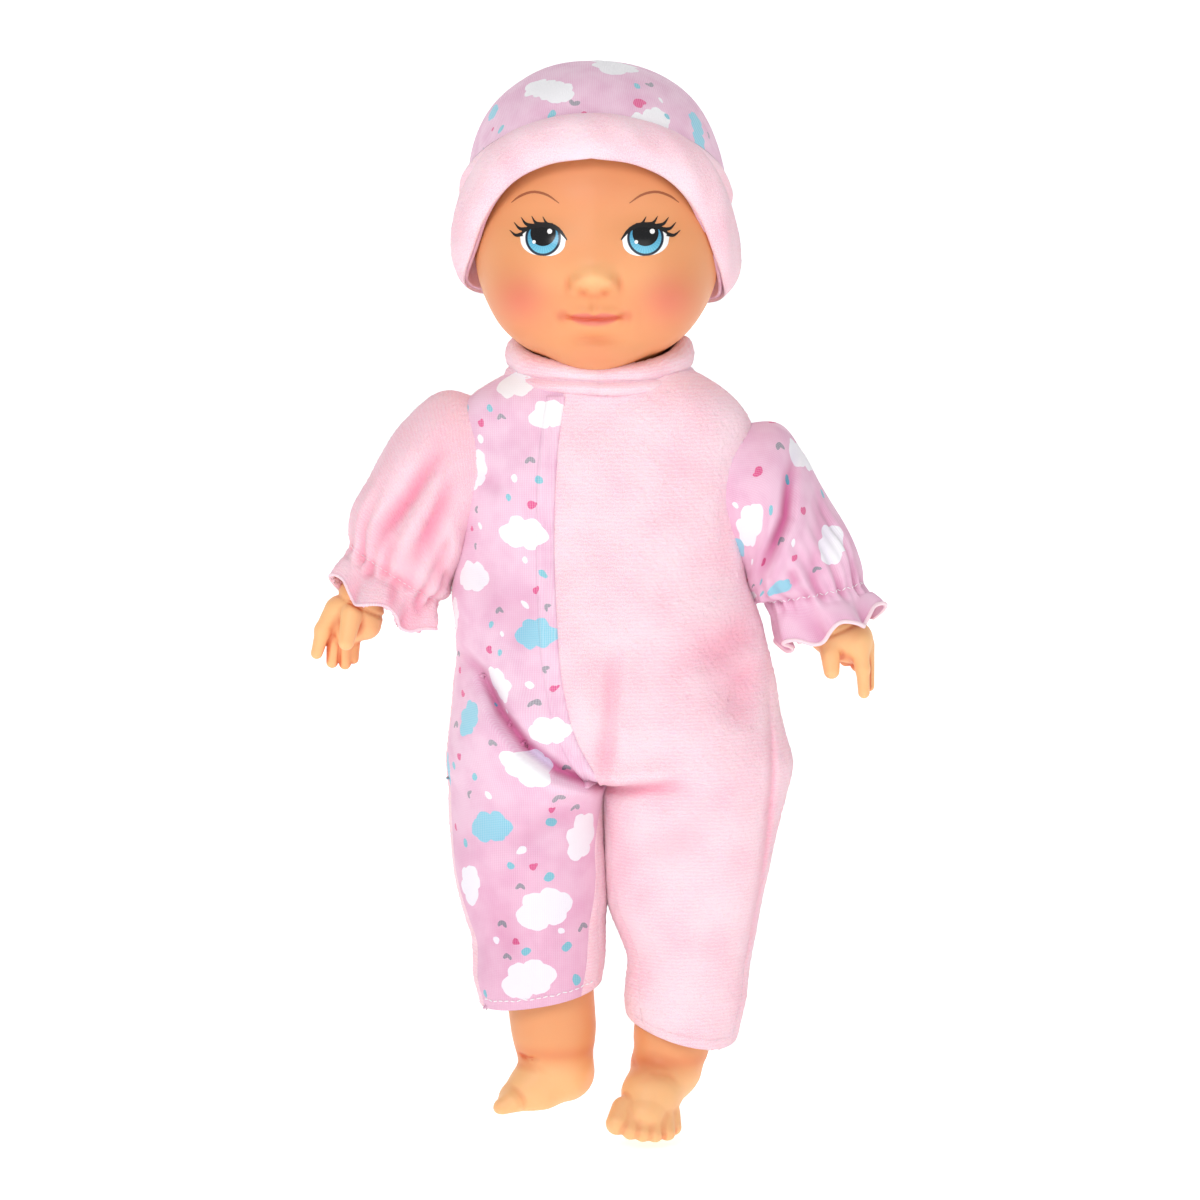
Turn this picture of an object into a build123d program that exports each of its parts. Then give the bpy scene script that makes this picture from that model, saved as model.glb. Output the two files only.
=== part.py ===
from build123d import *
import math
import os

os.makedirs("parts", exist_ok=True)

# Interactive baby doll, upright. +Z is up, the face looks towards -Y, and +X is the doll's left.
# The origin is at the middle of the waist, where a doll stand's clip or a hand holds it.
# All sizes are in millimetres.

# ---------------------------------------------------------------- driving dimensions
SKULL_CENTRE = (0, 3, 150)
SKULL_RADII = (43, 46, 51)
FACE_CENTRE = (0, -9, 132)
FACE_RADII = (41, 36, 35.5)
NOSE_CENTRE = (0, -44.5, 127)
NOSE_RADII = (6.5, 4.5, 4.5)
VINYL_WALL = 2.5
NECK_RADIUS = 19
NECK_BOTTOM = 84
NECK_GROOVE_RADIUS = 16.5
NECK_GROOVE_Z = (88, 91)

# height, centre X, half width and half depth of the cloth body
TORSO_SECTIONS = [
    (-44, 5, 53, 31.5),
    (-25, 5, 53.5, 33),
    (-5, 4, 50, 32.5),
    (20, 2, 46.5, 31),
    (50, 0.5, 44.5, 28.5),
    (74, 0, 43, 27),
    (84, 0, 39, 25.5),
    (92, 0, 33, 23),
]
BAG_SKIN = 1.0
CLOTH = 1.6
CLOTH_GAP = 0.6
PLACKET_X = -11.5
PLACKET_WIDTH = 7
COLLAR_RADIUS = 31.5
COLLAR_WALL = 5
COLLAR_Z = (85.5, 95)

# side: -1 is the doll's right, +1 its left
ARMS = {
    "right": {"side": -1, "joint": (-55, 0, 72), "splay": 27, "sleeve_inner_x": 49.4},
    "left": {"side": 1, "joint": (57, 0, 64), "splay": 21.5, "sleeve_inner_x": 51.6},
}
LEGS = {
    "right": {"side": -1, "joint": (-24.5, 0, -50), "splay": -5.6, "hem": 76, "toes": (-0.87, -0.40, -0.29)},
    "left": {"side": 1, "joint": (34.5, 0, -50), "splay": -5, "hem": 88, "toes": (-0.15, -0.80, -0.57)},
}
ARMHOLE_RADIUS = 24
SHOULDER_BALL = 14
HIP_BALL = 27.5
JOINT_GAP = 0.6
HIP_BACK_ANGLE = -26
THIGH_BALL = 21
SPIN_GAP = 0.08

# sound module: a case of X 40, Z 54 and Y 26, with its battery door towards the doll's back
CASE_X = 2
CASE_Z = 11
CASE_WIDTH = 40
CASE_HEIGHT = 54
CASE_FRONT_Y = 1
CASE_SPLIT_Y = 13
CASE_BACK_Y = 27
CASE_WALL = 2
CASE_CORNER = 5
CASE_GAP = 0.3
BUTTON_Z = 27
BUTTON_RADIUS = 7
BUTTON_TRAVEL = 2.5
SPEAKER_Z = 2
SPEAKER_RADIUS = 14
CELL_RADIUS = 5.25
CELL_LENGTH = 44.5
CELL_PITCH = 11
CELL_Y = 19.9
CELL_BOTTOM_Z = -11.5
SWITCH_X = 18
SWITCH_Z = 12
SWITCH_TRAVEL = 3
SCREW_SPREAD = (33, 47)


# ---------------------------------------------------------------- shared shapes
def ellipsoid(centre, radii, grow=0):
    """A solid ellipsoid, its three radii grown by the same amount."""
    grown = [radius + grow for radius in radii]
    with BuildPart() as solid:
        Sphere(grown[0])
        scale(by=(1, grown[1] / grown[0], grown[2] / grown[0]))
    return solid.part.moved(Location(centre))


def torso_form(grow):
    """The cloth body's outline, grown all round."""
    with BuildPart() as form:
        for height, centre_x, half_width, half_depth in TORSO_SECTIONS:
            with BuildSketch(Plane((centre_x, 0, height))):
                Ellipse(half_width + grow, half_depth + grow)
        loft()
    return form.part


def skull_cover(grow):
    """The skull's upper half and a straight skirt below it, so that a hat of this shape lifts off."""
    centre_z = SKULL_CENTRE[2]
    radius = SKULL_RADII[0] + grow
    rise = SKULL_RADII[2] + grow
    depth = SKULL_RADII[1] + grow
    with BuildPart() as cover:
        with BuildSketch(Plane.XZ):
            with BuildLine():
                EllipticalCenterArc((0, centre_z), radius, rise, start_angle=0, arc_size=90)
                Line((0, centre_z + rise), (0, centre_z - 50))
                Line((0, centre_z - 50), (radius, centre_z - 50))
                Line((radius, centre_z - 50), (radius, centre_z))
            make_face()
        revolve(axis=Axis.Z)
        scale(by=(1, depth / radius, 1))
    return cover.part.moved(Location((SKULL_CENTRE[0], SKULL_CENTRE[1], 0)))


def limb_direction(limb):
    """The way a limb points, from its joint towards its hand or foot."""
    angle = math.radians(limb["splay"])
    return Vector(limb["side"] * math.sin(angle), 0, -math.cos(angle))


def limb_plane(limb):
    """A sketch plane through the limb's axis: X is the radius, Y runs down the limb."""
    across = Vector(0, 1, 0)
    return Plane(limb["joint"], x_dir=across, z_dir=across.cross(limb_direction(limb)))


def limb_section(limb, distance):
    """The plane across the limb at a distance from its joint, its X towards the doll's front."""
    along = limb_direction(limb)
    return Plane(Vector(*limb["joint"]) + along * distance, x_dir=(0, -1, 0), z_dir=along)


def turned(limb, outline):
    """A solid of revolution about the limb's axis, from (radius, distance) points."""
    plane = limb_plane(limb)
    with BuildPart() as solid:
        with BuildSketch(plane):
            with BuildLine():
                Polyline(*outline, close=True)
            make_face()
        revolve(axis=Axis(limb["joint"], limb_direction(limb)))
    return solid.part


def turned_tube(limb, outline, wall):
    """A tube about the limb's axis whose outside is a smooth curve through (radius, distance) points."""
    inside = [(radius - wall, distance) for radius, distance in outline]
    with BuildPart() as tube:
        with BuildSketch(limb_plane(limb)):
            with BuildLine():
                Spline(*outline)
                Line(outline[-1], inside[-1])
                Spline(*reversed(inside))
                Line(inside[0], outline[0])
            make_face()
        revolve(axis=Axis(limb["joint"], limb_direction(limb)))
    return tube.part


def hip_room():
    """What the thighs sweep as the doll sits down, stands and leans back."""
    radius = HIP_BALL + JOINT_GAP
    with BuildPart() as room:
        for leg in LEGS.values():
            with Locations(leg["joint"]):
                Sphere(radius)
                Cylinder(radius, 70, rotation=(90, 0, 0), align=(Align.CENTER, Align.CENTER, Align.MIN))
                Cylinder(
                    radius,
                    70,
                    rotation=(180 - HIP_BACK_ANGLE, 0, 0),
                    align=(Align.CENTER, Align.CENTER, Align.MIN),
                )
    return room.part


def shoulder_room(radius):
    """A ball round each shoulder, or the armhole when the radius is an armhole's."""
    with BuildPart() as room:
        for arm in ARMS.values():
            with Locations(arm["joint"]):
                Sphere(radius)
    return room.part


def armholes():
    """A round hole through each side, wide enough for the upper arm to swing in."""
    with BuildPart() as holes:
        for arm in ARMS.values():
            with Locations((arm["side"] * 50, 0, arm["joint"][2])):
                Cylinder(ARMHOLE_RADIUS, 30, rotation=(0, 90, 0))
    return holes.part


def case_block(start_y, end_y, shrink):
    """A block of the sound module's outline, between two depths."""
    with BuildPart() as block:
        with BuildSketch(Plane((CASE_X, start_y, CASE_Z), x_dir=(1, 0, 0), z_dir=(0, 1, 0))):
            RectangleRounded(CASE_WIDTH - 2 * shrink, CASE_HEIGHT - 2 * shrink, CASE_CORNER - shrink / 2)
        extrude(amount=end_y - start_y)
    return block.part


def across_case(x, y, z):
    """A plane at a point of the case, facing the doll's back, X still to the doll's left."""
    return Plane((x, y, z), x_dir=(1, 0, 0), z_dir=(0, 1, 0))


# ---------------------------------------------------------------- head
skull = ellipsoid(SKULL_CENTRE, SKULL_RADII)
face = ellipsoid(FACE_CENTRE, FACE_RADII)
nose = ellipsoid(NOSE_CENTRE, NOSE_RADII)
skull_hollow = ellipsoid(SKULL_CENTRE, SKULL_RADII, -VINYL_WALL)
face_hollow = ellipsoid(FACE_CENTRE, FACE_RADII, -VINYL_WALL)

# A hollow vinyl head whose grooved neck is clamped in the cloth body.
with BuildPart() as head_shell:
    add(skull)
    add(face)
    add(nose)
    with BuildSketch(Plane.XY.offset(NECK_BOTTOM)):
        Circle(NECK_RADIUS)
    extrude(amount=26)
    with BuildSketch(Plane.XY.offset(NECK_GROOVE_Z[0])):
        Circle(NECK_RADIUS)
        Circle(NECK_GROOVE_RADIUS, mode=Mode.SUBTRACT)
    extrude(amount=NECK_GROOVE_Z[1] - NECK_GROOVE_Z[0], mode=Mode.SUBTRACT)
    add(skull_hollow, mode=Mode.SUBTRACT)
    add(face_hollow, mode=Mode.SUBTRACT)
    with BuildSketch(Plane.XY.offset(NECK_BOTTOM)):
        Circle(NECK_GROOVE_RADIUS - VINYL_WALL)
    extrude(amount=26, mode=Mode.SUBTRACT)
head_shell.part.label = "head_shell"
export_step(head_shell.part, "parts/head_shell.step")

# ---------------------------------------------------------------- hat
HAT_GAP = 0.9
CROWN_CLOTH = 1.6
CUFF_CLOTH = 8
CUFF_BAND = 24
CUFF_CENTRE = (0, 3, 148)
CUFF_TILT = 28

hat_hollow = skull_cover(HAT_GAP)
crown_outside = skull_cover(HAT_GAP + CROWN_CLOTH)
cuff_outside = skull_cover(HAT_GAP + CUFF_CLOTH)
cuff_plane = Plane(CUFF_CENTRE).rotated((-CUFF_TILT, 0, 0))

# The plush cuff is a thick band, higher over the forehead than at the nape.
with BuildPart() as hat_cuff:
    add(cuff_outside)
    with BuildSketch(cuff_plane.offset(-CUFF_BAND / 2)):
        Circle(80)
    extrude(amount=CUFF_BAND, mode=Mode.INTERSECT)
    add(hat_hollow, mode=Mode.SUBTRACT)
hat_cuff.part.label = "hat_cuff"
export_step(hat_cuff.part, "parts/hat_cuff.step")

# The printed crown is a thin dome above the cuff.
with BuildPart() as hat_crown:
    add(crown_outside)
    with BuildSketch(cuff_plane.offset(CUFF_BAND / 2)):
        Circle(80)
    extrude(amount=80, mode=Mode.INTERSECT)
    add(hat_hollow, mode=Mode.SUBTRACT)
hat_crown.part.label = "hat_crown"
export_step(hat_crown.part, "parts/hat_crown.step")

# ---------------------------------------------------------------- cloth body
bag_outside = torso_form(0)
bag_inside = torso_form(-BAG_SKIN)
romper_outside = torso_form(CLOTH_GAP + CLOTH)
romper_inside = torso_form(CLOTH_GAP)
thigh_room = hip_room()
upper_arm_room = shoulder_room(SHOULDER_BALL + JOINT_GAP)
armhole_room = armholes()
module_room = case_block(CASE_FRONT_Y - CASE_GAP, CASE_BACK_Y + CASE_GAP, -CASE_GAP)

with BuildPart() as body_room:
    # the neck's well, the button's well and the battery pocket's way out at the back
    with BuildSketch(Plane.XY.offset(NECK_BOTTOM - JOINT_GAP)):
        Circle(NECK_RADIUS + JOINT_GAP)
    extrude(amount=30)
    with BuildSketch(across_case(CASE_X, CASE_FRONT_Y - 5, BUTTON_Z)):
        Circle(BUTTON_RADIUS + 1)
    extrude(amount=6)
    with BuildSketch(across_case(CASE_X, CASE_BACK_Y, CASE_Z)):
        Rectangle(28, 46)
    extrude(amount=15)
body_cuts = [thigh_room, upper_arm_room, body_room.part, module_room]

with BuildPart() as torso_stuffing:
    add(bag_inside)
    for room in body_cuts:
        add(room, mode=Mode.SUBTRACT)
torso_stuffing.part.label = "torso_stuffing"
export_step(torso_stuffing.part, "parts/torso_stuffing.step")

with BuildPart() as body_bag:
    add(bag_outside)
    add(bag_inside, mode=Mode.SUBTRACT)
    for room in body_cuts:
        add(room, mode=Mode.SUBTRACT)
body_bag.part.label = "body_bag"
export_step(body_bag.part, "parts/body_bag.step")

# The tie lies in the neck's groove and holds the cloth body's neck to it.
with BuildPart() as neck_tie:
    with BuildSketch(Plane.XY.offset(NECK_GROOVE_Z[0] + 0.3)):
        Circle(NECK_RADIUS + JOINT_GAP)
        Circle(NECK_GROOVE_RADIUS + 0.3, mode=Mode.SUBTRACT)
    extrude(amount=NECK_GROOVE_Z[1] - NECK_GROOVE_Z[0] - 0.6)
neck_tie.part.label = "neck_tie"
export_step(neck_tie.part, "parts/neck_tie.step")

# ---------------------------------------------------------------- romper: body panels
WIDE = 200
placket_left_x = PLACKET_X + PLACKET_WIDTH / 2
placket_right_x = PLACKET_X - PLACKET_WIDTH / 2
panels = {
    "romper_front_print": ((-WIDE, placket_right_x), (-WIDE, 0)),
    "placket_strip": ((placket_right_x, placket_left_x), (-WIDE, 0)),
    "romper_front_plain": ((placket_left_x, WIDE), (-WIDE, 0)),
    "romper_back_right": ((-WIDE, 0), (0, WIDE)),
    "romper_back_left": ((0, WIDE), (0, WIDE)),
}
for name, (span_x, span_y) in panels.items():
    with BuildPart() as panel:
        add(romper_outside)
        add(romper_inside, mode=Mode.SUBTRACT)
        add(thigh_room, mode=Mode.SUBTRACT)
        add(armhole_room, mode=Mode.SUBTRACT)
        with BuildSketch(Plane.XY.offset(-WIDE)):
            with Locations(((span_x[0] + span_x[1]) / 2, (span_y[0] + span_y[1]) / 2)):
                Rectangle(span_x[1] - span_x[0], span_y[1] - span_y[0])
        extrude(amount=2 * WIDE, mode=Mode.INTERSECT)
    panel.part.label = name
    export_step(panel.part, f"parts/{name}.step")

# Hook and loop strips close the romper's back, one on top of the other behind the panels.
FASTENER_TOP = 70
FASTENER_LENGTH = 100
FASTENER_WIDTH = 12
for name, start in (("back_fastener_loop", CLOTH_GAP + CLOTH), ("back_fastener_hook", CLOTH_GAP + CLOTH + 1)):
    strip_outside = torso_form(start + 1)
    strip_inside = torso_form(start)
    with BuildPart() as strip:
        add(strip_outside)
        add(strip_inside, mode=Mode.SUBTRACT)
        with BuildSketch(Plane.XY.offset(FASTENER_TOP - FASTENER_LENGTH)):
            with Locations((0, 50)):
                Rectangle(FASTENER_WIDTH, 100)
        extrude(amount=FASTENER_LENGTH, mode=Mode.INTERSECT)
    strip.part.label = name
    export_step(strip.part, f"parts/{name}.step")

# The collar is a soft band round the neck, below the chin.
with BuildPart() as collar_band:
    with BuildSketch(Plane.XY.offset(COLLAR_Z[0])):
        Circle(COLLAR_RADIUS)
    extrude(amount=COLLAR_Z[1] - COLLAR_Z[0])
    fillet(collar_band.edges().filter_by(GeomType.CIRCLE).sort_by(Axis.Z)[-1], 3)
    with BuildSketch(Plane.XY.offset(COLLAR_Z[0])):
        Circle(COLLAR_RADIUS - COLLAR_WALL)
    extrude(amount=COLLAR_Z[1] - COLLAR_Z[0], mode=Mode.SUBTRACT)
    add(romper_outside, mode=Mode.SUBTRACT)
collar_band.part.label = "collar_band"
export_step(collar_band.part, "parts/collar_band.step")

# ---------------------------------------------------------------- arms
# Distances run down the arm from the shoulder. The vinyl arm's flange turns inside the cloth upper arm.
FLANGE = (30, 33)
GROOVE_END = 36
FLANGE_RADIUS = 9
GROOVE_RADIUS = 6.5
ARM_CLOTH_RADIUS = 11
ARM_RADII = [(11, 36.6), (11.2, 44), (10.6, 54), (9, 62), (7.6, 66)]
SLEEVE_OUTLINE = [(19, -17), (22, 0), (24, 20), (22, 38), (16, 48), (15.2, 51), (19, 58), (18.5, 64)]
SLEEVE_WALL = 1.6
ARM_HOLLOW = [(0, 29), (4, 29), (4, 39), (8.2, 42), (8, 54), (6, 61), (0, 62)]
HAND_START = 66
FINGER_RADIUS = 2.6

for side_name, arm in ARMS.items():
    side = arm["side"]
    cloth_bore = GROOVE_RADIUS + SPIN_GAP
    flange_bore = FLANGE_RADIUS + SPIN_GAP

    # stuffed cloth upper arm, with a ball end in the body and a bore for the vinyl arm's neck
    with BuildPart() as upper_arm:
        with BuildSketch(limb_plane(arm)):
            with BuildLine():
                Polyline(
                    (0, 0),
                    (ARM_CLOTH_RADIUS, 0),
                    (ARM_CLOTH_RADIUS, GROOVE_END),
                    (cloth_bore, GROOVE_END),
                    (cloth_bore, FLANGE[1] + SPIN_GAP),
                    (flange_bore, FLANGE[1] + SPIN_GAP),
                    (flange_bore, FLANGE[0] - SPIN_GAP),
                    (0, FLANGE[0] - SPIN_GAP),
                    close=True,
                )
            make_face()
        revolve(axis=Axis(arm["joint"], limb_direction(arm)))
        with Locations(arm["joint"]):
            Sphere(SHOULDER_BALL)
    upper_arm.part.label = f"upper_arm_{side_name}"
    export_step(upper_arm.part, f"parts/upper_arm_{side_name}.step")

    # cord tied round the cloth where it grips the vinyl arm
    with BuildPart() as arm_tie:
        with BuildSketch(limb_plane(arm)):
            with Locations((ARM_CLOTH_RADIUS + 0.9, FLANGE[1] + 1.5)):
                Circle(0.9)
        revolve(axis=Axis(arm["joint"], limb_direction(arm)))
    arm_tie.part.label = f"arm_tie_{side_name}"
    export_step(arm_tie.part, f"parts/arm_tie_{side_name}.step")

    # vinyl forearm and hand, hollow down to the wrist
    arm_hollow = turned(arm, ARM_HOLLOW)
    section = limb_section(arm, HAND_START)
    knuckles = section.offset(14)
    tips = section.offset(23)
    with BuildPart() as vinyl_arm:
        with BuildSketch(limb_plane(arm)):
            with BuildLine():
                Polyline(
                    (0, FLANGE[0]),
                    (FLANGE_RADIUS, FLANGE[0]),
                    (FLANGE_RADIUS, FLANGE[1]),
                    (GROOVE_RADIUS, FLANGE[1]),
                    (GROOVE_RADIUS, ARM_RADII[0][1]),
                    ARM_RADII[0],
                )
                Spline(*ARM_RADII)
                Polyline(ARM_RADII[-1], (0, HAND_START), (0, FLANGE[0]))
            make_face()
        revolve(axis=Axis(arm["joint"], limb_direction(arm)))
        for distance, half_thick, half_wide in ((-4, 7.4, 7.6), (3, 6.6, 9), (9, 6.4, 10.4), (14, 5.2, 9.6)):
            with BuildSketch(section.offset(distance)):
                Ellipse(half_thick, half_wide)
        loft()
        for finger in range(4):
            spread = (finger - 1.5) * 4.9
            with BuildSketch(knuckles.offset(-3)):
                with Locations((0, spread)):
                    Circle(FINGER_RADIUS)
            extrude(amount=12 - abs(finger - 1.5))
            with Locations(knuckles.offset(9 - abs(finger - 1.5)).from_local_coords((0, spread, 0))):
                Sphere(FINGER_RADIUS)
        thumb_start = section.offset(4).from_local_coords((1, side * 7, 0))
        thumb_end = section.offset(14).from_local_coords((4, side * 12.5, 0))
        thumb_way = thumb_end - thumb_start
        with BuildSketch(Plane(thumb_start, z_dir=thumb_way)):
            Circle(FINGER_RADIUS)
        extrude(amount=thumb_way.length)
        with Locations(thumb_start, thumb_end):
            Sphere(FINGER_RADIUS)
        add(arm_hollow, mode=Mode.SUBTRACT)
    vinyl_arm.part.label = f"arm_{side_name}"
    export_step(vinyl_arm.part, f"parts/arm_{side_name}.step")

    # puffed sleeve, cut flat where it meets the side of the body
    sleeve_form = turned_tube(arm, SLEEVE_OUTLINE, SLEEVE_WALL)
    with BuildPart() as sleeve:
        add(sleeve_form)
        with BuildSketch(Plane.YZ.offset(side * arm["sleeve_inner_x"])):
            Rectangle(300, 400)
        extrude(amount=side * 100, mode=Mode.INTERSECT)
    sleeve.part.label = f"sleeve_{side_name}"
    export_step(sleeve.part, f"parts/sleeve_{side_name}.step")

    # elastic that gathers the sleeve above its ruffle
    with BuildPart() as elastic:
        with BuildSketch(limb_plane(arm)):
            with Locations((12.5, 50.5)):
                Rectangle(0.8, 4)
        revolve(axis=Axis(arm["joint"], limb_direction(arm)))
    elastic.part.label = f"sleeve_elastic_{side_name}"
    export_step(elastic.part, f"parts/sleeve_elastic_{side_name}.step")

# ---------------------------------------------------------------- legs
LEG_FLANGE = (42, 45)
LEG_GROOVE_END = 48
LEG_FLANGE_RADIUS = 14
LEG_GROOVE_RADIUS = 10
THIGH_CLOTH_RADIUS = 16.5
LEG_RADII = [(16.2, 48.6), (16.6, 62), (16, 76), (13.6, 90), (12.6, 98), (12.4, 103)]
LEG_HOLLOW = [(0, 41), (7.5, 41), (7.5, 51), (13.6, 54), (13.6, 76), (10.6, 92), (0, 100)]
PANT_WALL = 1.8
FOOT_SECTIONS = [(-12, 5, 5, 1), (-8, 9.5, 9, 0), (0, 11, 11.5, 0), (12, 11.5, 9, -2), (24, 12.2, 6.4, -5)]
FOOT_END = (31, 10, 4, -6.6)
TOE_RADII = [4.2, 3.2, 3.0, 2.8, 2.5]
ANKLE_DISTANCE = 107

for side_name, leg in LEGS.items():
    side = leg["side"]
    cloth_bore = LEG_GROOVE_RADIUS + SPIN_GAP
    flange_bore = LEG_FLANGE_RADIUS + SPIN_GAP
    joint = Vector(*leg["joint"])
    leg_axis = Axis(joint, limb_direction(leg))

    # stuffed cloth thigh with a bore for the vinyl leg's neck
    with BuildPart() as thigh:
        with BuildSketch(limb_plane(leg)):
            with BuildLine():
                Polyline(
                    (0, 0),
                    (THIGH_BALL - 0.5, 0),
                    (THIGH_CLOTH_RADIUS, 26),
                    (THIGH_CLOTH_RADIUS, LEG_GROOVE_END),
                    (cloth_bore, LEG_GROOVE_END),
                    (cloth_bore, LEG_FLANGE[1] + SPIN_GAP),
                    (flange_bore, LEG_FLANGE[1] + SPIN_GAP),
                    (flange_bore, LEG_FLANGE[0] - SPIN_GAP),
                    (0, LEG_FLANGE[0] - SPIN_GAP),
                    close=True,
                )
            make_face()
        revolve(axis=leg_axis)
        with Locations(leg["joint"]):
            Sphere(THIGH_BALL)
    thigh.part.label = f"thigh_{side_name}"
    export_step(thigh.part, f"parts/thigh_{side_name}.step")

    # cord tied round the cloth where it grips the vinyl leg
    with BuildPart() as leg_tie:
        with BuildSketch(limb_plane(leg)):
            with Locations((THIGH_CLOTH_RADIUS + 1, LEG_FLANGE[1] + 1.5)):
                Circle(1)
        revolve(axis=leg_axis)
    leg_tie.part.label = f"leg_tie_{side_name}"
    export_step(leg_tie.part, f"parts/leg_tie_{side_name}.step")

    # vinyl lower leg and foot, hollow down to the ankle
    leg_hollow = turned(leg, LEG_HOLLOW)
    toes = Vector(*leg["toes"]).normalized()
    ankle = joint + limb_direction(leg) * ANKLE_DISTANCE
    across = toes.cross(Vector(0, 0, 1)).normalized()
    foot_plane = Plane(ankle, x_dir=across, z_dir=toes)
    with BuildPart() as vinyl_leg:
        with BuildSketch(limb_plane(leg)):
            with BuildLine():
                Polyline(
                    (0, LEG_FLANGE[0]),
                    (LEG_FLANGE_RADIUS, LEG_FLANGE[0]),
                    (LEG_FLANGE_RADIUS, LEG_FLANGE[1]),
                    (LEG_GROOVE_RADIUS, LEG_FLANGE[1]),
                    (LEG_GROOVE_RADIUS, LEG_RADII[0][1]),
                    LEG_RADII[0],
                )
                Spline(*LEG_RADII)
                Polyline(LEG_RADII[-1], (0, LEG_RADII[-1][1]), (0, LEG_FLANGE[0]))
            make_face()
        revolve(axis=leg_axis)
        for distance, half_wide, half_high, drop in FOOT_SECTIONS + [FOOT_END]:
            with BuildSketch(foot_plane.offset(distance)):
                with Locations((0, -drop if foot_plane.y_dir.Z < 0 else drop)):
                    Ellipse(half_wide, half_high)
        loft()
        for toe, toe_radius in enumerate(TOE_RADII):
            toe_across = side * (8.4 - 4.3 * toe)
            toe_along = 30 - 1.1 * toe
            toe_drop = 6.6 if foot_plane.y_dir.Z < 0 else -6.6
            with Locations(foot_plane.offset(toe_along).from_local_coords((toe_across, toe_drop, 0))):
                Sphere(toe_radius)
        add(leg_hollow, mode=Mode.SUBTRACT)
    vinyl_leg.part.label = f"leg_{side_name}"
    export_step(vinyl_leg.part, f"parts/leg_{side_name}.step")

    # trouser leg, a front and a back panel round the thigh and the calf
    hem = leg["hem"]
    with BuildPart() as hip_cap:
        with Locations(leg["joint"]):
            Sphere(HIP_BALL)
            Sphere(HIP_BALL - PANT_WALL, mode=Mode.SUBTRACT)
        with BuildSketch(limb_section(leg, 0)):
            Circle(60)
        extrude(amount=-60, mode=Mode.INTERSECT)
    trouser = turned_tube(leg, [(HIP_BALL, 0), (26, 24), (23.5, 52), (20.8, hem)], PANT_WALL)
    for panel_name, facing in (("front", -1), ("back", 1)):
        with BuildPart() as panel:
            add(hip_cap.part)
            add(trouser)
            with BuildSketch(Plane.XZ):
                Rectangle(400, 600)
            extrude(amount=-facing * 100, mode=Mode.INTERSECT)
        panel.part.label = f"trouser_{panel_name}_{side_name}"
        export_step(panel.part, f"parts/trouser_{panel_name}_{side_name}.step")

# ---------------------------------------------------------------- sound module: case
cavity_front = case_block(CASE_FRONT_Y + CASE_WALL, CASE_SPLIT_Y, CASE_WALL)
front_block = case_block(CASE_FRONT_Y, CASE_SPLIT_Y, 0)
back_block = case_block(CASE_SPLIT_Y, CASE_BACK_Y, 0)
BUTTON_HOLE = BUTTON_RADIUS + 0.25
DOOR_WIDTH = 24
DOOR_HEIGHT = 51
DOOR_THICK = 1.8
SCREW_RADIUS = 1.0

with BuildPart() as case_front:
    add(front_block)
    add(cavity_front, mode=Mode.SUBTRACT)
    # screw posts in the corners
    with BuildSketch(across_case(CASE_X, CASE_FRONT_Y + CASE_WALL - 0.5, CASE_Z)):
        with GridLocations(*SCREW_SPREAD, 2, 2):
            Circle(2.6)
    extrude(amount=CASE_SPLIT_Y - CASE_FRONT_Y - CASE_WALL + 0.5)
    with BuildSketch(across_case(CASE_X, CASE_FRONT_Y + CASE_WALL + 1, CASE_Z)):
        with GridLocations(*SCREW_SPREAD, 2, 2):
            Circle(SCREW_RADIUS)
    extrude(amount=20, mode=Mode.SUBTRACT)
    # sound holes and the button's hole
    with BuildSketch(across_case(CASE_X, CASE_FRONT_Y, SPEAKER_Z)):
        Circle(1.2)
        with PolarLocations(4.5, 6):
            Circle(1.2)
        with PolarLocations(9, 12):
            Circle(1.2)
    extrude(amount=CASE_WALL, mode=Mode.SUBTRACT)
    with BuildSketch(across_case(CASE_X, CASE_FRONT_Y, BUTTON_Z)):
        Circle(BUTTON_HOLE)
    extrude(amount=CASE_WALL, mode=Mode.SUBTRACT)
case_front.part.label = "case_front"
export_step(case_front.part, "parts/case_front.step")

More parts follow.
